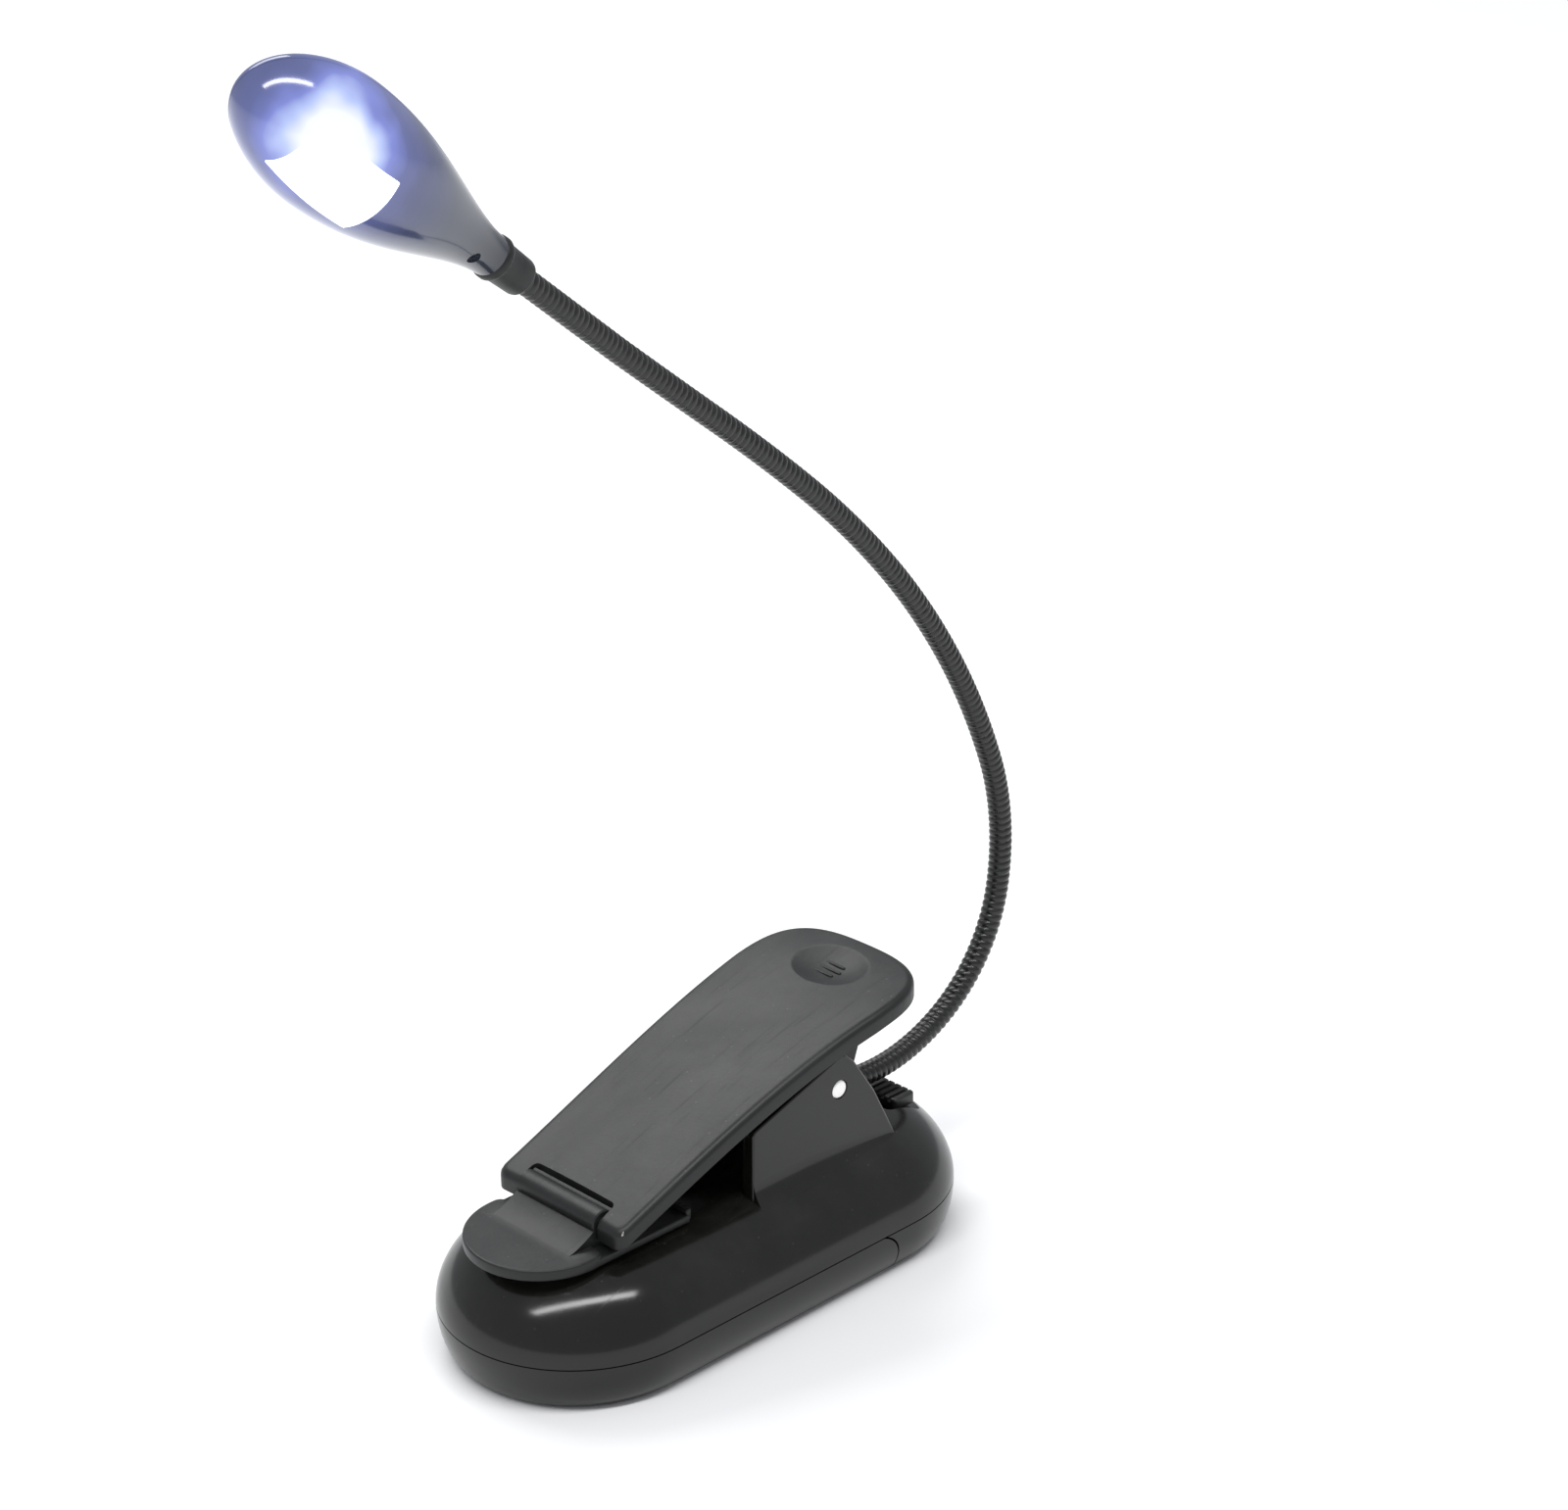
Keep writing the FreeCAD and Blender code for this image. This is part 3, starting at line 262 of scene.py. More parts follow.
def turned(name, profile, centre, axis="y", columns=48):
    """A lathed solid: rows of (along, radius), spun round an axis through a centre."""
    profile = np.asarray(profile, float)
    angle = np.arange(columns) * 2 * math.pi / columns
    along = np.broadcast_to(profile[:, 0, None], (len(profile), columns))
    across, up = profile[:, 1, None] * np.cos(angle), profile[:, 1, None] * np.sin(angle)
    order = {"y": (across, along, up), "x": (along, across, up), "z": (across, up, along)}[axis]
    points = np.stack(order, axis=-1) + np.asarray(centre, float)
    return new_object(name, new_mesh(name, points, grid_faces(len(profile), columns, around=True)))


def bore(start, end, radius, centre, axis="y", columns=48):
    """A cylinder to cut with, from start to end along an axis through a centre."""
    return turned("bore", [(start, 0), (start, radius), (end, radius), (end, 0)], centre, axis, columns)


def drilled_plate(name, outline, ends, edge, hole, finish):
    """An upright plate between two ends along y, with a hole at (x, z, radius), and its finish."""
    low, high = sorted(ends)
    thing = plate(name, outline, low, high, edge, "y")
    x, z, radius = hole
    combine(thing, [bore(-2, 9, radius, (x, low, z))], "DIFFERENCE", 50.0)
    return finish_piece(thing, *finish)


# %% [markdown]
# The base and the lever are bowls: an outline seen from above, whose rings move inwards and at
# last fall together on a line along its middle. One helper makes both, from rows of
# (inset, share of the way to the middle line, height).

# %% A bowl from an outline
def bowl_points(outline, spine, rows, lift=None):
    """Rings of (outline - normal * inset), drawn to the spine by a share, at a height plus lift(x, y)."""
    rows = np.asarray(rows, float)
    flat = outline[None] - outward(outline)[None] * rows[:, 0, None, None]
    flat = flat * (1 - rows[:, 1, None, None]) + spine[None] * rows[:, 1, None, None]
    height = np.broadcast_to(rows[:, 2, None], flat.shape[:2])
    if lift is not None:
        height = height + lift(flat[..., 0], flat[..., 1])
    return np.concatenate([flat, height[..., None]], axis=2)


def nested_bowls(name, outside, inside):
    """A shell: two bowls with the same columns, one inside the other, joined along their open rims."""
    count = outside.shape[1]
    start = len(outside) * count
    column = np.arange(count)
    after = (column + 1) % count
    faces = grid_faces(len(outside), count, around=True)
    faces += grid_faces(len(inside), count, around=True, first=start)
    faces += np.stack([column, after, after + start, column + start], axis=1).tolist()
    points = np.concatenate([outside.reshape(-1, 3), inside.reshape(-1, 3)])
    return new_object(name, new_mesh(name, points, faces))


def stadium(length, width):
    """Two straight sides and two half circles, and for each point its place on the middle line."""
    arc, straight = 48, 40
    radius, reach = width / 2, (length - width) / 2
    angle = np.linspace(-math.pi / 2, math.pi / 2, arc + 1)
    run = np.linspace(1, -1, straight + 1)[1:-1] * reach
    front = np.stack([-reach - radius * np.cos(angle), -radius * np.sin(angle)], axis=1)
    rear = np.stack([reach + radius * np.cos(angle), radius * np.sin(angle)], axis=1)
    top = np.stack([run, np.full_like(run, radius)], axis=1)
    low = np.stack([-run, np.full_like(run, -radius)], axis=1)
    outline = np.concatenate([rear, top, front, low])
    spine = np.stack([np.clip(outline[:, 0], -reach, reach), np.zeros(len(outline))], axis=1)
    return outline, spine


# %% [markdown]
# # The stage
# A pale floor and a pale room give the lamp soft light from all round. A narrow light overhead
# draws the bright line on the glossy shoulder, and a wider one lights the scene from behind.

# %% Floor, room and lights
def soft_light(name, place, aim, size, power):
    """A rectangular light of a size and a power, turned towards a point."""
    lamp = bpy.data.lights.new(name, "AREA")
    lamp.shape = "RECTANGLE"
    lamp.size, lamp.size_y = size
    lamp.energy = power
    holder = bpy.data.objects.new(name, lamp)
    bpy.context.scene.collection.objects.link(holder)
    holder.location = place
    holder.rotation_euler = (Vector(aim) - Vector(place)).to_track_quat("-Z", "Y").to_euler()
    return holder


FLOOR_HALF = 3000.0
floor = new_object("floor", new_mesh("floor", np.array(
    [[-1, -1, 0], [1, -1, 0], [1, 1, 0], [-1, 1, 0]]) * FLOOR_HALF, [[0, 1, 2, 3]]))
floor_material = bpy.data.materials.new("pale floor")
floor_material.use_nodes = True
floor_shader = floor_material.node_tree.nodes["Principled BSDF"]
floor_shader.inputs["Base Color"].default_value = (0.94, 0.94, 0.94, 1)
floor_shader.inputs["Roughness"].default_value = 0.6
floor.data.materials.append(floor_material)

room = bpy.data.worlds.new("room")
bpy.context.scene.world = room
room.use_nodes = True
sky = room.node_tree.nodes["Background"]
sky.inputs["Color"].default_value = (0.93, 0.95, 1.0, 1)
sky.inputs["Strength"].default_value = 0.50
strip = soft_light("overhead strip", (-0.58, -0.51, 2.0), (-0.58, -0.51, 0.0), (2.8, 0.24), 36.0)
strip.rotation_euler = (0, 0, math.radians(-23.2))
soft_light("back panel", (0.35, 1.6, 1.9), (0.0, 0.0, 0.0), (1.8, 1.0), 26.0)
bpy.context.scene.view_settings.view_transform = "Standard"
print("stage set")

# %% [markdown]
# # Finishes
# Moulded plastic is never quite even: it has a fine grain, slow changes of sheen, and dust that
# settles on faces that look up. Three shared node groups make these. Each gives out only masks
# and heights that change over the surface, and every material mixes them with its own numbers.

# %% Node helpers
def new_group(name, inputs, outputs):
    """A shader node group with named float or colour sockets."""
    group = bpy.data.node_groups.new(name, "ShaderNodeTree")
    for label, kind, value in inputs:
        socket = group.interface.new_socket(label, in_out="INPUT", socket_type="NodeSocket" + kind)
        socket.default_value = value
    for label, kind in outputs:
        group.interface.new_socket(label, in_out="OUTPUT", socket_type="NodeSocket" + kind)
    return group, group.nodes.new("NodeGroupInput"), group.nodes.new("NodeGroupOutput")


def add(tree, kind, links=None, **settings):
    """A node with settings, and links from other nodes' sockets to its inputs."""
    node = tree.nodes.new(kind)
    for key, value in settings.items():
        setattr(node, key, value)
    for socket, source in (links or {}).items():
        if isinstance(source, bpy.types.NodeSocket):
            tree.links.new(source, node.inputs[socket])
        else:
            node.inputs[socket].default_value = source
    return node


def math_node(tree, operation, one, other=0.0, clamp=False):
    return add(tree, "ShaderNodeMath", {0: one, 1: other}, operation=operation, use_clamp=clamp).outputs[0]


def ramp(tree, source, stops):
    """A colour ramp from (position, colour) stops."""
    node = add(tree, "ShaderNodeValToRGB", {0: source})
    for _ in range(len(stops) - 2):
        node.color_ramp.elements.new(0.5)
    for element, (position, colour) in zip(node.color_ramp.elements, stops):
        element.position = position
        element.color = (*colour, 1)
    return node.outputs[0]


# %% The shared groups
grain_group, grain_in, grain_out = new_group(
    "moulded grain", [("Scale", "Float", 900.0), ("Coarse Share", "Float", 0.4)],
    [("Height", "Float"), ("Mottle", "Float")])
place = add(grain_group, "ShaderNodeTexCoord").outputs["Object"]
fine = add(grain_group, "ShaderNodeTexNoise",
           {"Vector": place, "Scale": grain_in.outputs["Scale"], "Detail": 3.0, "Roughness": 0.6})
coarse = add(grain_group, "ShaderNodeTexNoise", {"Vector": place, "Scale": 120.0, "Detail": 4.0})
swirl = add(grain_group, "ShaderNodeTexNoise", {"Vector": place, "Scale": 38.0, "Detail": 5.0,
                                                "Roughness": 0.65, "Distortion": 0.8})
height = math_node(grain_group, "MULTIPLY_ADD", coarse.outputs["Fac"], grain_in.outputs["Coarse Share"])
grain_group.links.new(fine.outputs["Fac"], height.node.inputs[2])
grain_group.links.new(height, grain_out.inputs["Height"])
grain_group.links.new(swirl.outputs["Fac"], grain_out.inputs["Mottle"])

dust_group, dust_in, dust_out = new_group(
    "settled dust", [("Amount", "Float", 0.3)], [("Mask", "Float"), ("Speck Height", "Float")])
place = add(dust_group, "ShaderNodeTexCoord").outputs["Object"]
facing = add(dust_group, "ShaderNodeNewGeometry").outputs["Normal"]
level = add(dust_group, "ShaderNodeSeparateXYZ", {0: facing}).outputs["Z"]
level = add(dust_group, "ShaderNodeMapRange", {"Value": level, "From Min": 0.2, "From Max": 1.0}).outputs[0]
film = add(dust_group, "ShaderNodeTexNoise",
           {"Vector": place, "Scale": 90.0, "Detail": 6.0, "Roughness": 0.7})
film = add(dust_group, "ShaderNodeMapRange",
           {"Value": film.outputs["Fac"], "From Min": 0.45, "From Max": 0.8}).outputs[0]
specks = add(dust_group, "ShaderNodeTexVoronoi", {"Vector": place, "Scale": 420.0, "Randomness": 1.0})
specks = add(dust_group, "ShaderNodeMapRange",
             {"Value": specks.outputs["Distance"], "From Min": 0.10, "From Max": 0.03}).outputs[0]
both = math_node(dust_group, "ADD", math_node(dust_group, "MULTIPLY", film, 0.45), specks, clamp=True)
mask = math_node(dust_group, "MULTIPLY", math_node(dust_group, "MULTIPLY", both, level),
                 dust_in.outputs["Amount"])
dust_group.links.new(mask, dust_out.inputs["Mask"])
dust_group.links.new(specks, dust_out.inputs["Speck Height"])

scratch_group, scratch_in, scratch_out = new_group(
    "fine scratches", [("Density", "Float", 60.0)], [("Mask", "Float")])
place = add(scratch_group, "ShaderNodeTexCoord").outputs["Object"]
total = None
for angle, stretch in ((0.4, 26.0), (-0.9, 34.0), (1.5, 22.0)):
    turned_place = add(scratch_group, "ShaderNodeMapping",
                       {"Vector": place, "Rotation": (0.3, angle, angle), "Scale": (1.0, stretch, 1.0)}).outputs[0]
    line = add(scratch_group, "ShaderNodeTexNoise",
               {"Vector": turned_place, "Scale": scratch_in.outputs["Density"], "Detail": 2.0}).outputs["Fac"]
    line = add(scratch_group, "ShaderNodeMapRange",
               {"Value": line, "From Min": 0.66, "From Max": 0.72}).outputs[0]
    total = line if total is None else math_node(scratch_group, "MAXIMUM", total, line)
scratch_group.links.new(total, scratch_out.inputs["Mask"])
print("groups:", [g.name for g in (grain_group, dust_group, scratch_group)])


# %% One recipe for moulded and drawn surfaces
def place_group(tree, group, **values):
    node = tree.nodes.new("ShaderNodeGroup")
    node.node_tree = group
    for label, value in values.items():
        node.inputs[label.replace("_", " ")].default_value = value
    return node


def surface(name, colour, roughness, spread=0.08, tint=1.35, grain=900.0, relief=0.05, dust=0.25,
            scratches=0.0, metallic=0.0, coat=0.0, specular=0.5):
    """A material whose colour, roughness and relief all vary by the shared groups."""
    material = bpy.data.materials.new(name)
    material.use_nodes = True
    tree = material.node_tree
    shader = tree.nodes["Principled BSDF"]
    shader.inputs["Metallic"].default_value = metallic
    shader.inputs["Coat Weight"].default_value = coat
    shader.inputs["Coat Roughness"].default_value = 0.06
    shader.inputs["Specular IOR Level"].default_value = specular
    texture = place_group(tree, grain_group, Scale=grain)
    settled = place_group(tree, dust_group, Amount=dust)
    lighter = tuple(min(1.0, channel * tint) for channel in colour)
    mottle = add(tree, "ShaderNodeMapRange",
                 {"Value": texture.outputs["Mottle"], "From Min": 0.35, "From Max": 0.65}).outputs[0]
    base = add(tree, "ShaderNodeMix", {0: mottle}, data_type="RGBA")
    base.inputs[6].default_value = (*colour, 1)
    base.inputs[7].default_value = (*lighter, 1)
    dusty = add(tree, "ShaderNodeMix", {0: settled.outputs["Mask"], 6: base.outputs[2]}, data_type="RGBA")
    dusty.inputs[7].default_value = (0.42, 0.42, 0.40, 1)
    tree.links.new(dusty.outputs[2], shader.inputs["Base Color"])
    rough = math_node(tree, "MULTIPLY_ADD", mottle, spread)
    rough.node.inputs[2].default_value = roughness - spread / 2
    rough = math_node(tree, "ADD", rough, math_node(tree, "MULTIPLY", settled.outputs["Mask"], 0.5))
    if scratches:
        worn = place_group(tree, scratch_group)
        rough = math_node(tree, "ADD", rough, math_node(tree, "MULTIPLY", worn.outputs["Mask"], scratches))
    tree.links.new(rough, shader.inputs["Roughness"])
    bump = add(tree, "ShaderNodeBump", {"Height": texture.outputs["Height"], "Strength": relief,
                                        "Distance": 0.0002})
    tree.links.new(bump.outputs["Normal"], shader.inputs["Normal"])
    return material


shell_black = surface("gloss black shell", (0.0070, 0.0074, 0.0058), 0.16, spread=0.05, relief=0.015,
                      dust=0.06, scratches=0.08, specular=0.42)
clip_charcoal = surface("satin charcoal", (0.0105, 0.0112, 0.0108), 0.42, grain=1500.0, relief=0.10,
                        dust=0.10, scratches=0.06, specular=0.36)
neck_black = surface("coated coil", (0.010, 0.010, 0.0095), 0.30, spread=0.14, relief=0.08, dust=0.12)
bright_pin = surface("bright steel pin", (0.80, 0.80, 0.78), 0.28, spread=0.12, tint=1.1, relief=0.03,
                     dust=0.1, metallic=1.0, scratches=0.2)
wire_steel = surface("spring wire", (0.42, 0.41, 0.39), 0.32, tint=1.2, relief=0.05, dust=0.2, metallic=1.0,
                     scratches=0.2)
knob_black = surface("knob", (0.012, 0.012, 0.0115), 0.38, relief=0.08, dust=0.1)
print("shared finishes made")

# %% [markdown]
# # The base
# The base is a long rounded box with half-round ends, in two halves that meet in a fine line.
# Its shoulder is rounder than a plain arc, so it is a superellipse. A fillet on a box would
# give the arc, but a profile function gives the exact swell and an even mesh for reflections.

# %% Base sizes
door_high = node_box("battery_door")[1]
upper_low, upper_high = node_box("upper_housing")
BASE_LENGTH, BASE_WIDTH = upper_high[0] - upper_low[0], upper_high[1] - upper_low[1]
BASE_TOP = 18.8
PARTING = upper_low[2]
SEAM = PARTING - door_high[2]
WALL = 1.6
DOOR_REAR = door_high[0]
SHOULDER_WIDE, SHOULDER_POWER = 11.7, 1.86
print("base", round(BASE_LENGTH, 1), "x", round(BASE_WIDTH, 1), "parting", round(PARTING, 2))


# %% Upper shell
def shoulder(wall):
    """Rows up the wall's shoulder: |across/wide|^e + |up/high|^e = 1, then flat to the middle line."""
    wide, steps = SHOULDER_WIDE, 26
    high = BASE_TOP - PARTING
    angle = np.linspace(0, math.pi / 2, steps)
    across = wide - (wide - wall * 0.3) * np.cos(angle) ** (2 / SHOULDER_POWER) - wall * 0.3 + wall
    up = (high - wall) * np.sin(angle) ** (2 / SHOULDER_POWER) + PARTING
    rise = np.stack([across, np.zeros(steps), up], axis=1)
    share = np.array([0.02, 0.2, 0.45, 0.7, 0.9, 1.0])
    flat = np.stack([np.full(6, rise[-1, 0]), share, np.full(6, BASE_TOP - wall)], axis=1)
    return np.concatenate([rise, flat])


def hollow_base(name, rows):
    """A half of the base, from a function that gives its rows at a wall's depth."""
    return nested_bowls(name, *(bowl_points(base_outline, base_spine, rows(wall)) for wall in (0.0, WALL)))


base_outline, base_spine = stadium(BASE_LENGTH, BASE_WIDTH)
upper_shell = hollow_base("base_upper_shell", shoulder)

# %% [markdown]
# The switch sits in a shallow pocket in the rear shoulder. A block is joined under it first, so
# that the pocket has a floor, then the pocket and the slot for the switch's stem are cut.

# %% Switch pocket
RECESS_FRONT, RECESS_HALF, RECESS_FLOOR = 31.5, 8.0, 16.0
slider_low, slider_high = node_box("switch_slider")
SWITCH_X = (slider_low[0] + slider_high[0]) / 2
floor_block = box("pocket_floor", (RECESS_FRONT - 1, -RECESS_HALF - 1, RECESS_FLOOR - 1.4),
                  (BASE_LENGTH / 2, RECESS_HALF + 1, RECESS_FLOOR + 0.6), 0.05)
whole_rows = np.concatenate([[[0.3, 1, PARTING]], shoulder(0.3)])
whole = new_object("whole_upper", new_mesh(
    "whole_upper", bowl_points(base_outline, base_spine, whole_rows),
    grid_faces(len(whole_rows), len(base_outline), around=True)))
combine(floor_block, [whole], "INTERSECT")
combine(upper_shell, [floor_block], "UNION")
pocket = box("pocket", (RECESS_FRONT, -RECESS_HALF, RECESS_FLOOR), (50, RECESS_HALF, 22), 0.7)
stem_slot = box("stem_slot", (SWITCH_X - 1.3, -4.1, RECESS_FLOOR - 3), (SWITCH_X + 1.3, 4.1, 20), 0.1)
combine(upper_shell, [pocket, stem_slot], "DIFFERENCE")
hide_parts("upper_housing")
finish_piece(upper_shell, shell_black, "shell_black", "base")

# %% [markdown]
# Two cheeks stand on the base and carry the pivot pin. They are plates with rolled rims, and
# each sinks a little into the shell, as one moulding would.

# %% Cheeks and gooseneck boss
pin_low, pin_high = node_box("pivot_pin")
PIVOT_X, PIVOT_Z = (pin_low[0] + pin_high[0]) / 2, (pin_low[2] + pin_high[2]) / 2
CHEEK_OUTER, CHEEK_THICK = pin_high[1], 2.2
cheek_outline = rounded_outline(
    [(-1.4, 17.4), (PIVOT_X + 12.0, 17.4), (PIVOT_X + 7.3, PIVOT_Z - 2.9), (PIVOT_X + 3.2, PIVOT_Z + 3.5),
     (PIVOT_X + 0.8, PIVOT_Z + 5.7), (-1.0, PIVOT_Z - 0.4)], [0.5, 0.5, 4.0, 2.0, 1.5, 1.2])
SIDES = (("right", -1), ("left", 1))
for side, sign in SIDES:
    drilled_plate(f"cheek_{side}", cheek_outline, (sign * CHEEK_OUTER, sign * (CHEEK_OUTER - CHEEK_THICK)), 0.35,
                  (PIVOT_X, PIVOT_Z, 1.55), (shell_black, "shell_black", "base"))

# %% [markdown]
# Outside each cheek a hollow fillet leads down on to the shoulder and fades out towards the
# rear. It is a profile carried along x: part of a circle whose radius shrinks with x.

# %% Fillets at the cheeks' feet
def shoulder_height(y):
    """Height of the shoulder at a distance from the middle, where the sides are straight."""
    across = np.clip((np.abs(y) - BASE_WIDTH / 2 + SHOULDER_WIDE) / SHOULDER_WIDE, 0, 1)
    return PARTING + (BASE_TOP - PARTING) * (1 - across ** SHOULDER_POWER) ** (1 / SHOULDER_POWER)


def cheek_fillet(name, side):
    """Rows along x of a hollow arc, tangent to the cheek and turning by 57 degrees on to the shoulder."""
    rows, columns = 40, 14
    along = np.linspace(-1.1, PIVOT_X + 10.6, rows)
    radius = 5.5 - 4.7 * np.clip((along - 9.0) / 18.5, 0, 1) ** 1.6
    turn = np.linspace(0, math.radians(57), columns)
    y = CHEEK_OUTER - 0.02 + radius[:, None] * (1 - np.cos(turn))
    fall = radius[:, None] * np.sin(turn)
    z = shoulder_height(y[:, -1])[:, None] - 0.12 + fall[:, -1:] - fall
    y = np.concatenate([y, y[:, -1:], np.full((rows, 2), CHEEK_OUTER - 0.8)], axis=1)
    z = np.concatenate([z, z[:, -1:] - 0.8, z[:, -1:] - 0.8, z[:, :1]], axis=1)
    x = np.broadcast_to(along[:, None], y.shape)
    points = np.stack([x, side * y, z], axis=2)
    count = y.shape[1]
    faces = grid_faces(rows, count, around=True)
    faces += [list(range(count)), list(range((rows - 1) * count, rows * count))]
    return new_object(name, new_mesh(name, points, faces, 35.0))


for side, sign in SIDES:
    finish_piece(cheek_fillet(f"cheek_foot_{side}", sign), shell_black, "shell_black", "base")

NECK_START = np.array([31.0, 0.0, 21.2])
boss_outline = rounded_outline(
    [(19.65, 17.4), (NECK_START[0], 17.4), (NECK_START[0], NECK_START[2] + 2.4), (NECK_START[0] - 4.5, 26.9),
     (19.65, 26.9)], [1.2, 1.2, 1.2, 1.6, 1.6])
boss = plate("neck_boss", boss_outline, -4.2, 4.2, 0.9, "y")
finish_piece(boss, shell_black, "shell_black", "base")

# %% [markdown]
# The lower half curves in towards the foot like a quarter of an ellipse. It is made whole once
# for each of its two parts, then the door keeps what lies inside the seam's outline and the
# rear cap loses it, so the two match along a seam with a rounded corner.

# %% Battery door and rear cap
def tub_rows(wall):
    """Rows down from the seam: inset * (1 - sqrt(1 - s^2)), s from 0 at the seam to 1 at the foot."""
    inset, steps = 3.3, 22
    high = PARTING - SEAM
    share = np.sin(np.linspace(0, math.pi / 2, steps))
    across = (inset + wall * 0.5) * (1 - np.sqrt(1 - share ** 2)) + wall
    down = high - (high - wall) * share
    fall = np.stack([across, np.zeros(steps), down], axis=1)
    flat = np.stack([np.full(5, across[-1]), [0.03, 0.3, 0.6, 0.85, 1.0], np.full(5, wall)], axis=1)
    return np.concatenate([fall, flat])


def seam_tool(name, gap):
    """The door's side view: everything in front of its rear edge and under its rounded corner."""
    corner = 5.0
    outline = rounded_outline([(-60, -2), (DOOR_REAR - gap, -2), (DOOR_REAR - gap, PARTING + 0.1 - gap),
                               (-60, PARTING + 0.1 - gap)], [0.1, 0.1, corner, 0.1], 10)
    return plate(name, outline, -25, 25, 0.05, "y")


door = hollow_base("battery_door_skin", tub_rows)
combine(door, [seam_tool("door_side", 0.0)], "INTERSECT")
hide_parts("battery_door")
finish_piece(door, shell_black, "shell_black", "battery_door")
cap = hollow_base("rear_cap_skin", tub_rows)
combine(cap, [seam_tool("cap_side", -0.2)], "DIFFERENCE")
finish_piece(cap, shell_black, "shell_black", "base")

# %% [markdown]
# The knob of the slide switch is a small block with ridges for the thumb.

# %% Switch knob
knob = box("switch_knob", (*slider_low[:2], RECESS_FLOOR + 0.2), slider_high, 0.45)
grooves = [box("groove", (slider_low[0] - 1, y - 0.32, slider_high[2] - 0.6),
               (slider_high[0] + 1, y + 0.32, 25), 0.05)
           for y in np.linspace(slider_low[1] + 1.2, slider_high[1] - 1.2, 5)]
stem = box("stem", (SWITCH_X - 1, -3.8, 11.4), (SWITCH_X + 1, -0.2, 16.6), 0.1)
combine(knob, grooves, "DIFFERENCE", 30.0)
combine(knob, [stem], "UNION", 30.0)
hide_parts("switch_slider")
finish_piece(knob, knob_black, "knob_black", "switch_slider")

# %% [markdown]
# # The clip
# The lever is a long shallow tray, open underneath, with a rolled rim, a thumb dimple and a
# notch at its jaw end for the pad's knuckle. Seen from the side it rises steeply, then less
# steeply behind a soft knee. Its top is the same bowl as the base's, lifted by that line.

# %% Lever sizes
lever_high = node_box("clip_lever")[1]
LEVER_RUN = 62.0
LEVER_FRONT, LEVER_REAR, LEVER_HALF = -27.8, lever_high[0], lever_high[1]
THUMB_REAR, THUMB_HALF, THUMB_START = LEVER_REAR + 1.0, 15.2, 22.0
DIMPLE_X = 27.3
print("lever ends at", np.round(lever_high, 2))


# %% Lever skin
def lever_line(x):
    """Height of the lever's top: a cubic in the share of the way from its jaw end to its thumb end."""
    share = (x - LEVER_FRONT) / LEVER_RUN
    return 24.5 + 24.0 * share + 3.9 * share ** 2 - 9.4 * share ** 3


def lever_top(x, y):
    """The top line, less a slight fall towards both sides."""
    return lever_line(x) - 0.35 * (y / LEVER_HALF) ** 2


def thumb_dimple(x, y):
    """Depth of the thumb dimple: 1 - distance^2 inside an oval, deeper on the right."""
    far = ((x - DIMPLE_X) / 5.0) ** 2 + (y / 6.6) ** 2
    return (0.95 - 0.05 * y) * np.clip(1 - far, 0, 1)


def lever_half_outline():
    """Half the lever from above: |x/length|^n + |y/half|^n = 1 at the thumb, a flare, a front corner."""
    count, corner, power = 171, 1.8, 2 / 3.1
    turn = np.linspace(0, math.pi / 2, 60)
    thumb = np.stack([THUMB_START + (THUMB_REAR - THUMB_START) * np.cos(turn) ** power,
                      np.sin(turn) ** power], axis=1)
    run = np.linspace(THUMB_START, LEVER_FRONT + corner, 60)[1:]
    side = np.stack([run, np.ones(59)], axis=1)
    half = np.concatenate([thumb, side])
    flare = np.clip((half[:, 0] - LEVER_FRONT) / 50, 0, 1)
    half[:, 1] *= LEVER_HALF - 0.2 + (THUMB_HALF - LEVER_HALF + 0.2) * flare ** 2
    turn = np.linspace(0, math.pi / 2, 9)[1:]
    reach = half[-1, 1] - corner
    front = np.stack([LEVER_FRONT + corner - corner * np.sin(turn), reach + corner * np.cos(turn)], axis=1)
    half = np.concatenate([half, front, [[LEVER_FRONT, 0]]])
    along = np.concatenate([[0], np.cumsum(np.linalg.norm(np.diff(half, axis=0), axis=1))])
    spots = np.linspace(0, along[-1], count)
    return np.stack([np.interp(spots, along, half[:, axis]) for axis in (0, 1)], axis=1)


lever_half = lever_half_outline()
lever_outline = np.concatenate([lever_half, lever_half[-2:0:-1] * (1, -1)])
lever_spine = np.stack([np.clip(lever_outline[:, 0], -15, 22), np.zeros(len(lever_outline))], axis=1)
DEPTH, SKIN, RIM = 3.2, 1.5, 1.1
roll = np.linspace(0, math.pi / 2, 8)
top_rows = np.stack([RIM * (1 - np.cos(roll)), np.zeros(8), -RIM * (1 - np.sin(roll))], axis=1)
inward = np.linspace(0, 1, 56)[1:]
top_rows = np.concatenate([[[0.4, 0, -DEPTH], [0.0, 0, -DEPTH + 0.4], [0, 0, -DEPTH / 2 - 0.4]], top_rows,
                           np.stack([np.full(55, RIM), inward, np.zeros(55)], axis=1)])
under_rows = np.concatenate([
    [[SKIN - 0.2, 0, -DEPTH], [SKIN, 0, -DEPTH + 0.2], [SKIN, 0, -SKIN - 0.6], [SKIN + 0.6, 0, -SKIN]],
    np.stack([np.full(24, SKIN + 0.6), np.linspace(0, 1, 25)[1:], np.full(24, -SKIN)], axis=1)])
outside = bowl_points(lever_outline, lever_spine, top_rows, lever_top)
past_rim = np.arange(len(top_rows))[:, None] > 8
outside[..., 2] -= np.where(past_rim, thumb_dimple(outside[..., 0], outside[..., 1]), 0)
inside = bowl_points(lever_outline, lever_spine, under_rows, lever_top)
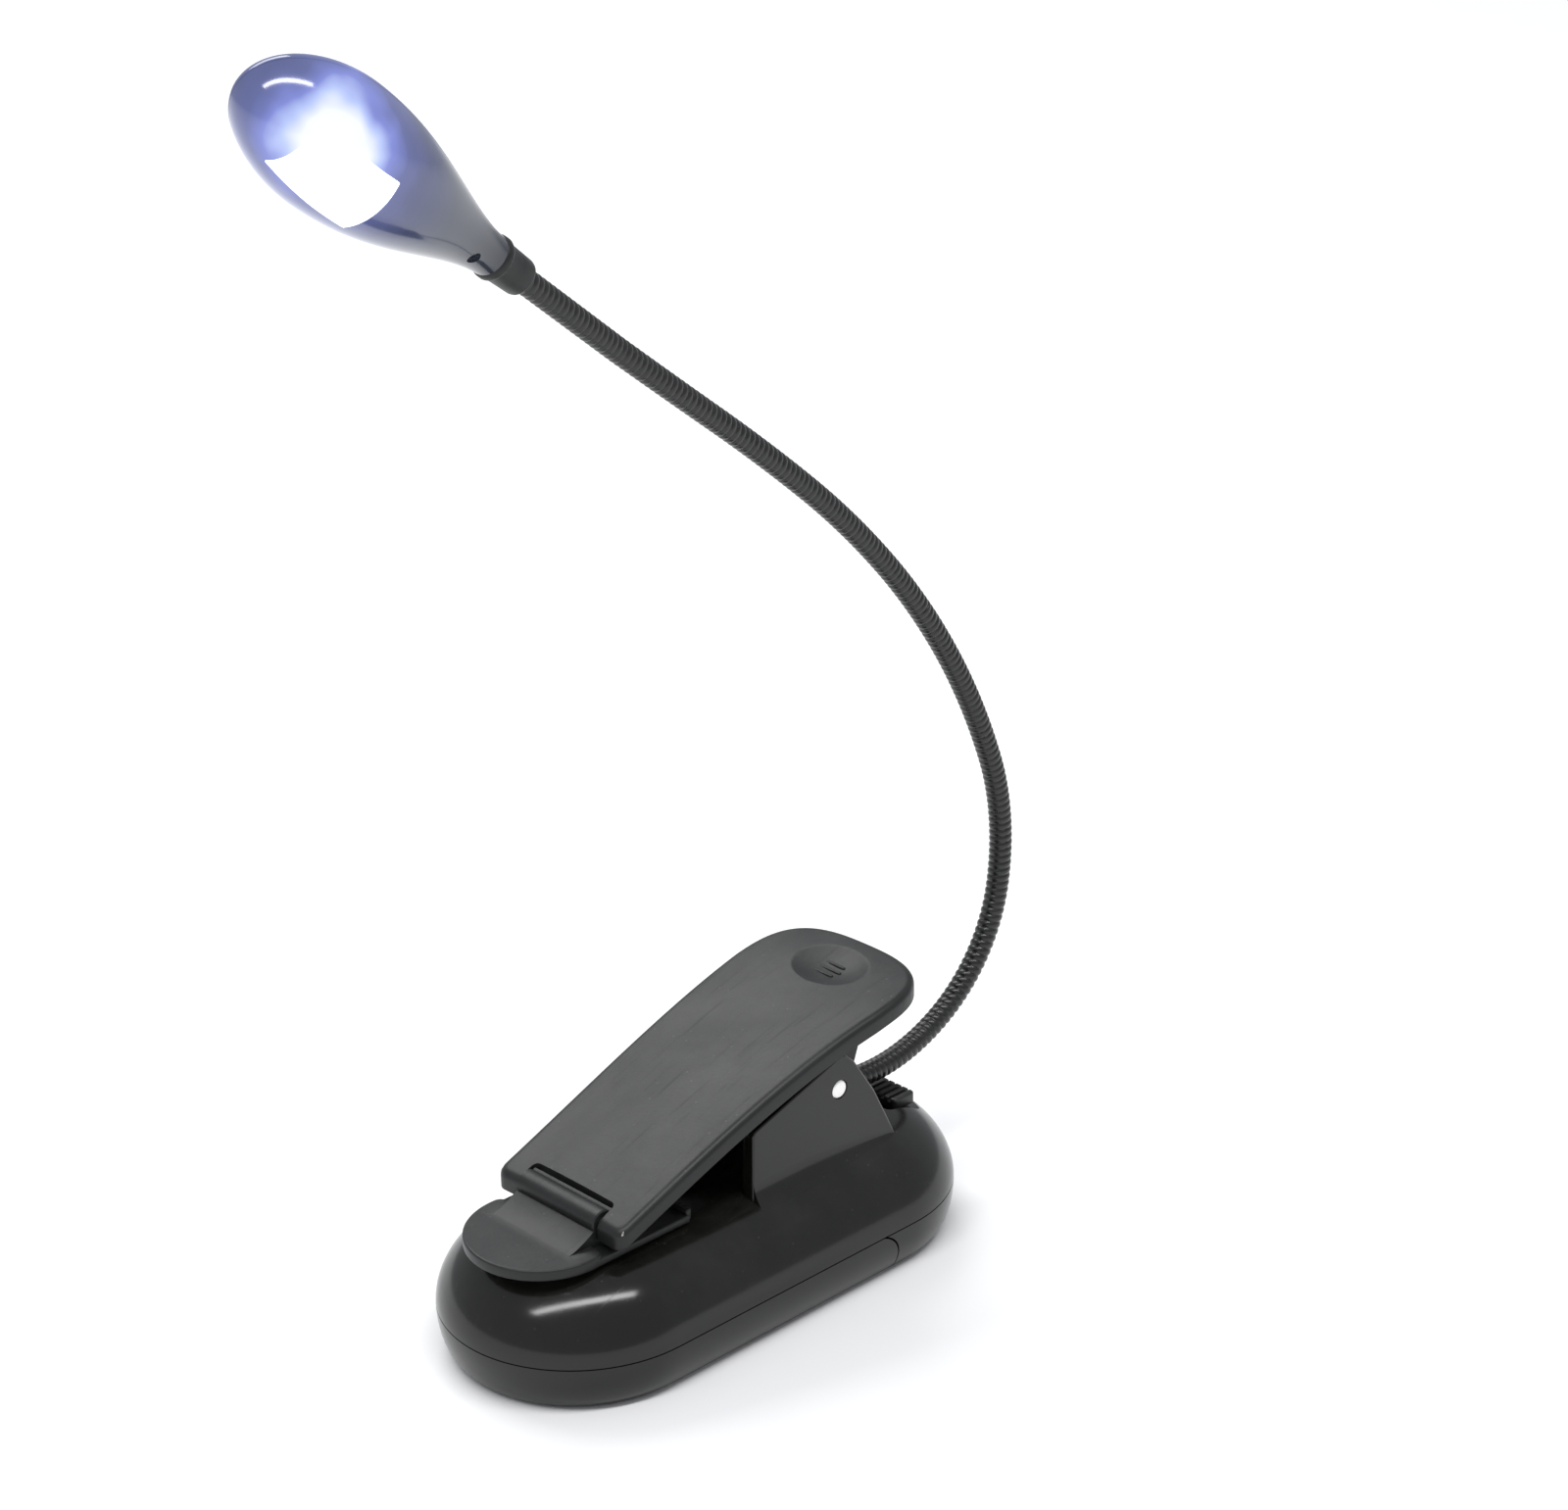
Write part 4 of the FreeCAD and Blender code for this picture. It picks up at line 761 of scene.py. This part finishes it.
inside[..., 2] -= thumb_dimple(inside[..., 0], inside[..., 1])
lever = nested_bowls("lever_skin", outside, inside)
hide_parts("clip_lever")

# %% [markdown]
# The jaw end is solid where the pad's pin runs through it: two arms with rounded eyes, and a
# notch between them.

# %% Arms, notch and pin holes
pad_pin_low, pad_pin_high = node_box("pad_pin")
PAD_X, PAD_Z = (pad_pin_low[0] + pad_pin_high[0]) / 2, (pad_pin_low[2] + pad_pin_high[2]) / 2
NOTCH_HALF, NOTCH_REAR = 8.7, LEVER_FRONT + 3.7
notch = box("notch", (LEVER_FRONT - 3, -NOTCH_HALF, 15), (NOTCH_REAR, NOTCH_HALF, 40), 0.6)
combine(lever, [notch], "DIFFERENCE")
lever_finish = (clip_charcoal, "clip_charcoal", "lever")
finish_piece(lever, *lever_finish)
ARM_REAR = -19.0
arm_outline = rounded_outline(
    [(PAD_X - 1.95, PAD_Z - 1.95), (PAD_X + 2.6, PAD_Z - 1.95), (ARM_REAR, lever_line(ARM_REAR) - DEPTH),
     (ARM_REAR, lever_line(ARM_REAR) - 0.9), (PAD_X - 1.9, lever_line(PAD_X - 1.9) - 0.15)],
    [1.8, 1.6, 0.5, 0.5, 0.9])
for side, sign in SIDES:
    drilled_plate(f"jaw_arm_{side}", arm_outline, (sign * (NOTCH_HALF + 0.05), sign * (LEVER_HALF - 0.25)), 0.35,
                  (PAD_X, PAD_Z, 0.8), lever_finish)

# %% [markdown]
# Two lugs hang from the lever inside the cheeks and turn on the pivot pin.

# %% Lugs under the lever
LUG_OUTER = CHEEK_OUTER - CHEEK_THICK - 0.3
lug_outline = rounded_outline(
    [(PIVOT_X - 10, lever_line(PIVOT_X - 10) - 1.0), (PIVOT_X - 4.4, PIVOT_Z - 1.8),
     (PIVOT_X - 1.8, PIVOT_Z - 4.2), (PIVOT_X + 1.6, PIVOT_Z - 4.2), (PIVOT_X + 4.0, PIVOT_Z - 2.2),
     (PIVOT_X + 5.6, PIVOT_Z + 1.5), (PIVOT_X + 9.3, lever_line(PIVOT_X + 9.3) - 1.0)],
    [0.4, 2.5, 2.0, 2.0, 2.0, 3.0, 0.4])
for side, sign in SIDES:
    drilled_plate(f"lever_lug_{side}", lug_outline, (sign * LUG_OUTER, sign * (LUG_OUTER - 2.0)), 0.25,
                  (PIVOT_X, PIVOT_Z, 1.56), lever_finish)

# %% [markdown]
# Three small ridges in the dimple give the thumb some hold.

# %% Thumb ridges
RIDGE_STEP, RIDGE_HALF = 1.3, 0.28
for number, offset in enumerate((-RIDGE_STEP, 0.0, RIDGE_STEP), start=1):
    x = DIMPLE_X + offset
    z = float(lever_line(x) - thumb_dimple(x, 0.0))
    reach = 2.3 - abs(offset) / 3
    ridge_outline = rounded_outline([(x - RIDGE_HALF, -reach), (x + RIDGE_HALF, -reach),
                                     (x + RIDGE_HALF, reach), (x - RIDGE_HALF, reach)], 0.26)
    finish_piece(plate(f"thumb_ridge_{number}", ridge_outline, z - 0.6, z + 0.2, 0.18), *lever_finish)

# %% [markdown]
# The pad is the clip's moving jaw: a half-round nose, a ramp that rises from a crease to the
# knuckle in the lever's notch, and a thinner plate that runs back under the lever.

# %% Jaw pad
pad_low, pad_high = node_box("clip_pad")
NOSE_HALF, NOSE_THICK, HEEL_THICK, NOSE_REAR = 11.4, 1.8, 1.25, PAD_X - 2.3
PAD_LOW = pad_low[2]
ROUND_REAR, NOSE_CORNER = NOSE_REAR - 2.2, 1.5
angle = np.linspace(math.pi / 2, 1.5 * math.pi, 61)
half_round = np.stack([ROUND_REAR + (ROUND_REAR - pad_low[0]) * np.cos(angle), NOSE_HALF * np.sin(angle)], axis=1)
corner = np.linspace(0, math.pi / 2, 7)
near_corner = np.stack([NOSE_REAR - NOSE_CORNER + NOSE_CORNER * np.sin(corner),
                        -NOSE_HALF + NOSE_CORNER - NOSE_CORNER * np.cos(corner)], axis=1)
nose_outline = np.concatenate([half_round, near_corner, near_corner[::-1] * (1, -1)])
pad = plate("jaw_pad", nose_outline, PAD_LOW, PAD_LOW + NOSE_THICK, 0.35)
heel_end = [(pad_high[0] - 0.7, -NOSE_HALF), (pad_high[0], -NOSE_HALF + 0.7), (pad_high[0], NOSE_HALF - 0.7),
            (pad_high[0] - 0.7, NOSE_HALF)]
heel = plate("heel", np.concatenate([half_round * 0.997, heel_end]), PAD_LOW + 0.03,
             PAD_LOW + HEEL_THICK, 0.3)
heel_lip = box("heel_lip", (pad_high[0] - 1.1, -NOSE_HALF + 0.13, PAD_LOW + 0.37),
               (pad_high[0] - 0.04, NOSE_HALF - 0.13, PAD_LOW + 2.1), 0.3)

# %% [markdown]
# The ramp's top is a curve from the side: flat on the nose, hollow at the crease, then straight
# up to a rounded crest beside the lever's notch. It is drawn once as a side view and given the
# width of the notch, with a barrel round the pin below it.

# %% Ramp and knuckle
BARREL, RAMP_HALF = 1.95, 8.35
nose_top = PAD_LOW + NOSE_THICK
crest = np.array([NOTCH_REAR - 0.45, float(lever_line(NOTCH_REAR)) - 0.45])
foot = np.array([PAD_X - 7.0, nose_top - 0.05])
share = np.linspace(0, 1, 15)[:, None]
crease = np.array([PAD_X - 4.3, nose_top + 0.1])
brow = crest - (0.9, 0.75)
ramp_top = (1 - share) ** 2 * foot + 2 * share * (1 - share) * crease + share ** 2 * brow
crest_curve = np.array([crest - (0.45, 0.42), crest - (0.1, 0.28), crest - (0.0, 0.6)])
under = np.array([[crest[0], PAD_LOW + 0.45], [foot[0], PAD_LOW + 0.45]])
web = prism("ramp", np.concatenate([ramp_top, crest_curve, under]), -RAMP_HALF, RAMP_HALF)
knuckle = turned("knuckle", [(-RAMP_HALF, 0), (-RAMP_HALF, BARREL - 0.2), (-RAMP_HALF + 0.2, BARREL),
                             (RAMP_HALF - 0.2, BARREL), (RAMP_HALF, BARREL - 0.2), (RAMP_HALF, 0)],
                 (PAD_X, 0, PAD_Z), columns=64)
combine(pad, [heel, heel_lip, knuckle, web], "UNION", 35.0)
combine(pad, [bore(-12, 12, 0.82, (PAD_X, 0, PAD_Z))], "DIFFERENCE", 35.0)
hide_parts("clip_pad")
finish_piece(pad, clip_charcoal, "clip_charcoal", "pad")

# %% [markdown]
# Both pins are turned steel with a small chamfer at each end.

# %% Pins
def pin(name, node, body, material):
    """A pin as thick and long as its CAD node, its rim rounded in two steps at both ends."""
    low, high = node_box(node)
    radius, half, bevel = (high[2] - low[2]) / 2, (high[1] - low[1]) / 2, 0.2
    rim = [(half, 0), (half, radius - 2 * bevel), (half - bevel * 0.3, radius - bevel), (half - bevel, radius)]
    thing = turned(name, [(-along, r) for along, r in rim] + rim[::-1], (low + high) / 2)
    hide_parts(node)
    return finish_piece(thing, material, "bright_pin", body)


pin("pivot_pin_turned", "pivot_pin", "base", bright_pin)
pin("pad_pin_turned", "pad_pin", "lever", wire_steel)

# %% [markdown]
# The torsion spring is a wound wire. Its coil and one leg stay with the base, and the other leg
# goes with the lever, which turns about the coil's own middle, so the two stay in touch.

# %% Torsion spring
def wire(name, path, radius, columns=12):
    """A tube along a path: each ring stands square to the path's direction there."""
    path = np.asarray(path, float)
    along = np.gradient(path, axis=0)
    along /= np.linalg.norm(along, axis=1, keepdims=True)
    side = np.cross(along, [0.31, 0.2, 0.93])
    side /= np.linalg.norm(side, axis=1, keepdims=True)
    up = np.cross(along, side)
    angle = np.arange(columns) * 2 * math.pi / columns
    ring = side[:, None] * np.cos(angle)[None, :, None] + up[:, None] * np.sin(angle)[None, :, None]
    points = path[:, None] + ring * radius
    points = np.concatenate([np.repeat(path[:1, None], columns, axis=1), points,
                             np.repeat(path[-1:, None], columns, axis=1)])
    return new_object(name, new_mesh(name, points, grid_faces(len(points), columns, around=True)))


COIL, WIRE, PITCH, TURNS = 2.3, 0.5, 1.25, 4
reach = np.array([7.8, float(lever_line(PIVOT_X + 7.8)) - 2.3 - PIVOT_Z])
run = math.sqrt(reach @ reach - COIL ** 2)
lean = math.atan2(reach[1], reach[0]) - math.atan2(COIL, run)
sweep = 2 * math.pi * (TURNS + 0.5) - lean
wind = np.linspace(0, sweep, 24 * TURNS)
width = PITCH * sweep / (2 * math.pi)
coil_path = np.stack([PIVOT_X - COIL * np.sin(wind), PITCH * wind / (2 * math.pi) - width / 2,
                      PIVOT_Z - COIL * np.cos(wind)], axis=1)
base_leg = coil_path[0] + np.linspace(7.5, 0.3, 8)[:, None] * np.array([1.0, -0.08, 0.0])
lever_leg = coil_path[-1] + np.linspace(0, run, 8)[:, None] * np.array([math.cos(lean), 0.08, math.sin(lean)])
spring_coil = wire("spring_coil", np.concatenate([base_leg, coil_path]), WIRE)
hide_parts("torsion_spring")
finish_piece(spring_coil, wire_steel, "spring_steel", "base")
spring_leg = wire("spring_leg", lever_leg, WIRE)
finish_piece(spring_leg, wire_steel, "spring_steel", "lever")

# %% [markdown]
# # The gooseneck
# The gooseneck is a tube wound from wire, so its skin is a row of fine rings that climb like a screw. Each skin runs
# from the middle of one link to the middle of the next.

# %% Middle line
LINK, HEADING = 22.2, -9.5
BENDS = [41.5, 48.5, 29.5, 11.5, 10.0, 7.5, 3.0, -0.5, 0.0]
HEAD_YAW, HEAD_ROLL, COLLAR = 3.5, 53.0, 6.6
COLLAR_COVER = 0.3
TUBE, COIL_PITCH = 1.8, 1.12
knots = np.arange(len(BENDS) + 1) * LINK
headings = np.radians(HEADING + np.concatenate([[0], np.cumsum(BENDS)]))
fine_s = np.linspace(0, knots[-1], 4001)
fine_heading = np.interp(fine_s, knots, headings)
fine_yaw = np.radians(HEAD_YAW) * (fine_s > 8 * LINK)
fine_way = np.stack([np.cos(fine_yaw) * np.cos(fine_heading), -np.sin(fine_yaw),
                     np.cos(fine_yaw) * np.sin(fine_heading)], axis=1)
steps = (fine_way[1:] + fine_way[:-1]) / 2 * np.diff(fine_s)[:, None]
fine_line = NECK_START + np.concatenate([[[0, 0, 0]], np.cumsum(steps, axis=0)])


def neck_at(s):
    """Point, direction and the way square to it in the plane of the bend, at a length along the tube."""
    s = np.atleast_1d(np.asarray(s, float))
    inside = np.clip(s, 0, knots[-1])
    way = np.stack([np.interp(inside, fine_s, fine_way[:, axis]) for axis in range(3)], axis=1)
    way /= np.linalg.norm(way, axis=1, keepdims=True)
    spot = np.stack([np.interp(inside, fine_s, fine_line[:, axis]) for axis in range(3)], axis=1)
    spot = spot + way * (s - inside)[:, None]
    up = np.cross(way, [0, 1, 0])
    up /= np.linalg.norm(up, axis=1, keepdims=True)
    return spot, way, up


pivots = [np.array(joint["pos_m"]) / MM for joint in frame["joints"] if joint["name"].startswith("neck_bend")]
gap = max(np.linalg.norm(neck_at(LINK * (n + 1))[0][0] - pivots[n]) for n in range(8))
print("middle line passes within", round(float(gap), 3), "mm of every pivot")


# %% Wound skin
def coil_skin(name, start, end):
    """A tube whose radius follows a flattened wire: the phase along the tube lags by one turn per round."""
    columns, per_turn = 28, 9
    rows = int(round((end - start) / COIL_PITCH * per_turn)) + 1
    s = np.linspace(start, end, rows)
    angle = np.arange(columns) * 2 * math.pi / columns
    phase = (s[:, None] / COIL_PITCH - angle[None] / (2 * math.pi)) % 1.0
    wire_round = np.sqrt(np.clip(1 - (2 * phase - 1) ** 2 * 0.97, 0, 1))
    radius = TUBE - 0.30 * (1 - wire_round)
    spot, way, up = neck_at(s)
    side = np.cross(way, up)
    ring = up[:, None] * np.cos(angle)[None, :, None] + side[:, None] * np.sin(angle)[None, :, None]
    radius = np.concatenate([np.zeros((1, columns)), radius, np.zeros((1, columns))])
    spot, ring = spot[[0, *range(rows), -1]], ring[[0, *range(rows), -1]]
    points = spot[:, None] + ring * radius[..., None]
    return new_object(name, new_mesh(name, points, grid_faces(rows + 2, columns, around=True), 75.0))


for joint in range(1, 9):
    start = -1.5 if joint == 1 else (joint - 0.5) * LINK
    end = knots[-1] + 3.0 if joint == 8 else (joint + 0.5) * LINK
    skin = coil_skin(f"wound_tube_{joint}", start, end)
    nodes = [f"gooseneck_link_{joint}"] + (["gooseneck_link_9"] if joint == 8 else [])
    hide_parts(*nodes)
    finish_piece(skin, neck_black, "neck_coil")
    reach = LINK * 0.42
    (first, last), _, _ = neck_at([joint * LINK - reach, joint * LINK + reach])
    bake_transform(skin)

# %% [markdown]
# # The head
# The head is a teardrop pod: flat behind, full in front, wide near its tip and drawn out to the
# neck. It is worked out in its own frame, with x from the neck to the tip and z out of the
# window, and then turned into place.

# %% The head's frame
end_spot, end_way, end_up = (value[0] for value in neck_at(knots[-1]))
end_side = np.cross(end_up, end_way)
roll_angle = math.radians(HEAD_ROLL)
head_y = math.cos(roll_angle) * end_side + math.sin(roll_angle) * end_up
head_z = -math.sin(roll_angle) * end_side + math.cos(roll_angle) * end_up
head_origin = end_spot + end_way * (COLLAR - COLLAR_COVER)
to_head = Matrix([*np.column_stack([end_way, head_y, head_z, head_origin * MM]).tolist(), [0, 0, 0, 1]])
HEAD_LENGTH, HALF_WIDTH, BELLY, BACK, NECK, FULLEST = 47.7, 9.0, 11.2, 4.65, 2.9, 0.69
HEAD_WALL, HEAD_SEAM = 1.2, 0.05
print("window looks towards", np.round(head_z, 3))


def head_radii(share, inset):
    """Half width, belly and back at a share of the length: a cosine swell, then a quarter ellipse."""
    rising = 0.5 - 0.5 * np.cos(math.pi * np.clip(share / FULLEST, 0, 1) ** 0.80)
    falling = np.sqrt(np.clip(1 - ((share - FULLEST) / (1 - FULLEST)) ** 2, 0, 1))
    return [np.where(share < FULLEST, NECK + (size - NECK) * rising - inset, (size - inset) * falling)
            for size in (HALF_WIDTH, BELLY, BACK)]


def half_pod(name, side):
    """Belly (side 1) or back (side -1) of the pod as a shell with an inner wall."""
    rows, columns = 90, 49
    share = np.sin(np.linspace(0, math.pi / 2, rows))
    angle = np.linspace(0, math.pi, columns)
    sheets = []
    for inset in (0.0, HEAD_WALL):
        reach = HEAD_LENGTH - inset
        width, belly, back = head_radii(share, inset)
        depth = np.maximum((belly if side > 0 else back) - HEAD_SEAM, 0)
        x = np.broadcast_to((share * reach)[:, None], (rows, columns))
        y = width[:, None] * np.cos(angle)[None]
        z = side * (HEAD_SEAM + depth[:, None] * np.sin(angle)[None])
        sheets.append(np.stack([x, y, z], axis=2))
    points = np.concatenate([sheet.reshape(-1, 3) for sheet in sheets])
    faces = grid_faces(rows, columns) + grid_faces(rows, columns, first=rows * columns)
    start = rows * columns
    row = np.arange(rows - 1) * columns
    for edge in (0, columns - 1):
        here = row + edge
        faces += np.stack([here, here + columns, here + columns + start, here + start], axis=1).tolist()
    column = np.arange(columns - 1)
    faces += np.stack([column, column + 1, column + 1 + start, column + start], axis=1).tolist()
    return new_object(name, new_mesh(name, points, faces))


# %% Head shells
WINDOW_X, WINDOW_LENGTH, WINDOW_WIDTH, SCREW_X = 35.0, 13.8, 9.1, 5.2
front = half_pod("head_front_skin", 1)
window_box = box("window", (WINDOW_X - WINDOW_LENGTH / 2, -WINDOW_WIDTH / 2, 1.5),
                 (WINDOW_X + WINDOW_LENGTH / 2, WINDOW_WIDTH / 2, 20), 0.15)
screw_well = bore(1.6, 9, 0.95, (SCREW_X, 0, 0), "z", 32)
combine(front, [window_box, screw_well], "DIFFERENCE")
back = half_pod("head_back_skin", -1)
print("head shells:", len(front.data.polygons), len(back.data.polygons))


# %% [markdown]
# The clear window follows the belly's curve. It is a small grid in x and y, lifted to the
# pod's surface, with an inner face one millimetre below.

# %% Window
def belly_height(x, y, inset):
    """Height of the pod's belly over a point: belly * sqrt(1 - (y / half width)^2)."""
    width, belly, _ = head_radii(x / HEAD_LENGTH, inset)
    return belly * np.sqrt(np.clip(1 - (y / width) ** 2, 0, 1))


gap = 0.1
rows, columns = 40, 28
x = np.linspace(WINDOW_X - WINDOW_LENGTH / 2 + gap, WINDOW_X + WINDOW_LENGTH / 2 - gap, rows)
y = np.linspace(-WINDOW_WIDTH / 2 + gap, WINDOW_WIDTH / 2 - gap, columns)
x, y = np.meshgrid(x, y, indexing="ij")
outer = np.stack([x, y, belly_height(x, y, 0.0) - 0.03], axis=2)
inner = np.stack([x, y, belly_height(x, y, 1.0)], axis=2)
numbers = np.arange(rows * columns).reshape(rows, columns)
edge = np.concatenate([numbers[0], numbers[1:, -1], numbers[-1, -2::-1], numbers[-2:0:-1, 0]])
after = np.roll(edge, -1)
start = rows * columns
window_faces = grid_faces(rows, columns) + grid_faces(rows, columns, first=start)
window_faces += np.stack([edge, after, after + start, edge + start], axis=1).tolist()
window = new_object("window_skin", new_mesh("window_skin", np.concatenate(
    [outer.reshape(-1, 3), inner.reshape(-1, 3)]), window_faces))

# %% [markdown]
# The collar is a turned sleeve with a lip against the head. It tapers towards the gooseneck.

# %% Collar and neck lip
collar_profile = [(0.2, 2.3), (0.2, 2.75), (0.0, 2.98), (-0.25, 3.1), (-0.95, 3.12), (-1.2, 3.02),
                  (-1.3, 2.85), (-1.6, 2.78), (-4.0, 2.68), (-6.1, 2.6), (-6.45, 2.5), (-6.6, 2.3),
                  (-6.6, 1.86), (0.2, 1.86), (0.2, 2.3)]
collar = turned("collar_skin", collar_profile, (0, 0, 0), "x", 56)
for thing in (front, back, window, collar):
    thing.data.transform(to_head)
    thing.data.update()

# %% [markdown]
# The head is dark glossy plastic with a painted glow on it: its emission is white round the window, then pale blue,
# then violet, and slate grey at the neck, painted in for the haze of light round the lit window. The colour comes
# from the distance to a point inside the head, so it stays put when the head moves.

# %% Painted glow on the head plastic, and the lit window
# The painted glow on the head and the window's own light are both centred on this point beside the window.
glow_point = to_head @ Vector(((WINDOW_X + 3.5) * MM, -0.0040, 0.0090))


def glow_distance(tree):
    """The place on the piece, and its distance in metres from the glow's middle."""
    place = add(tree, "ShaderNodeTexCoord").outputs["Object"]
    away = add(tree, "ShaderNodeVectorMath", {0: place, 1: tuple(glow_point)}, operation="DISTANCE")
    return place, away.outputs["Value"]


def light_up(tree, colour, strength):
    """Lets a material shine with a colour that changes over it."""
    shader = tree.nodes["Principled BSDF"]
    tree.links.new(colour, shader.inputs["Emission Color"])
    shader.inputs["Emission Strength"].default_value = strength


GLOW_REACH, CLOUD_DEPTH = 0.039, 0.007
head_plastic = surface("plastic with painted glow", (0.016, 0.019, 0.027), 0.13, spread=0.05, relief=0.015, dust=0.05, coat=0.4)
tree = head_plastic.node_tree
place, away = glow_distance(tree)
# Noise wobbles the edge of the painted glow.
cloud = add(tree, "ShaderNodeTexNoise", {"Vector": place, "Scale": 130.0, "Detail": 2.0}).outputs["Fac"]
cloud = math_node(tree, "MULTIPLY", math_node(tree, "SUBTRACT", cloud, 0.5), CLOUD_DEPTH)
share = math_node(tree, "DIVIDE", math_node(tree, "ADD", away, cloud), GLOW_REACH, clamp=True)
# Painted glow: the head shell's emission runs from white near the window through blue and violet to near black at
# the neck.
light_up(tree, ramp(tree, share, [
    (0.0, (1.0, 1.0, 1.0)), (0.10, (0.95, 0.98, 1.0)), (0.15, (0.50, 0.60, 0.98)), (0.20, (0.20, 0.24, 0.66)),
    (0.27, (0.10, 0.12, 0.32)), (0.40, (0.055, 0.065, 0.16)), (0.58, (0.018, 0.026, 0.050)),
    (1.0, (0.004, 0.005, 0.007))]), 1.0)
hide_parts("head_front_shell")
finish_piece(front, head_plastic, "head_plastic", "head")
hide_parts("head_back_shell")
finish_piece(back, head_plastic, "head_plastic", "head")
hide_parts("head_collar")
finish_piece(collar, clip_charcoal, "head_plastic", "head")

WINDOW_REACH = 0.012
window_glow = surface("lit window", (0.90, 0.94, 1.0), 0.12, spread=0.04, tint=1.05, relief=0.01, dust=0.02,
                      coat=0.3)
tree = window_glow.node_tree
share = math_node(tree, "DIVIDE", glow_distance(tree)[1], WINDOW_REACH, clamp=True)
light_up(tree, ramp(tree, share, [(0.0, (1.0, 1.0, 1.0)), (0.75, (0.94, 0.97, 1.0)), (1.0, (0.80, 0.93, 1.0))]), 3.0)
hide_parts("head_lens")
finish_piece(window, window_glow, "clear_lens", "head")

# %% [markdown]
# # The pieces inside
# What the shells hide keeps its CAD shape and gets a finish of its own, so that it is right
# when the door slides off.

# %% Inner finishes
inner_finish = {
    "board": surface("printed board", (0.015, 0.095, 0.045), 0.35, tint=1.6, relief=0.06),
    "contact": surface("nickel contact", (0.60, 0.58, 0.54), 0.28, tint=1.15, metallic=1.0, scratches=0.2),
    "cell": surface("cell sleeve", (0.045, 0.050, 0.065), 0.24, tint=1.5, coat=0.2, scratches=0.1),
    "tray": surface("tray plastic", (0.020, 0.020, 0.019), 0.5, relief=0.1),
    "screw": surface("zinc screw", (0.38, 0.38, 0.37), 0.36, tint=1.3, metallic=1.0, scratches=0.3),
    "switch": surface("switch can", (0.55, 0.55, 0.53), 0.3, tint=1.2, metallic=1.0, scratches=0.2),
    "lead": surface("lead sleeve", (0.012, 0.012, 0.012), 0.42, relief=0.05),
    "cup": surface("white cup", (0.85, 0.85, 0.84), 0.3, tint=1.05, relief=0.03),
    "emitter": surface("light emitter", (0.95, 0.86, 0.45), 0.35, tint=1.1, relief=0.03),
}
belongs = {"circuit_board": "board", "led_board": "board", "front_contact_strip": "contact",
           "rear_contact_strip": "contact", "contact_spring": "contact", "battery_tray": "tray",
           "battery_cell": "cell", "housing_screws": "screw", "head_screw": "screw", "switch_body": "switch",
           "lead_wire": "lead", "head_reflector": "cup", "led_1": "emitter", "led_2": "emitter"}
for name, thing in frame["nodes"].items():
    kind = next((kind for start, kind in belongs.items() if name.startswith(start)), None)
    thing.data.materials.clear()
    thing.data.materials.append(inner_finish.get(kind, shell_black))
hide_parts("lower_housing")
print("finished", len(frame["nodes"]), "CAD nodes")
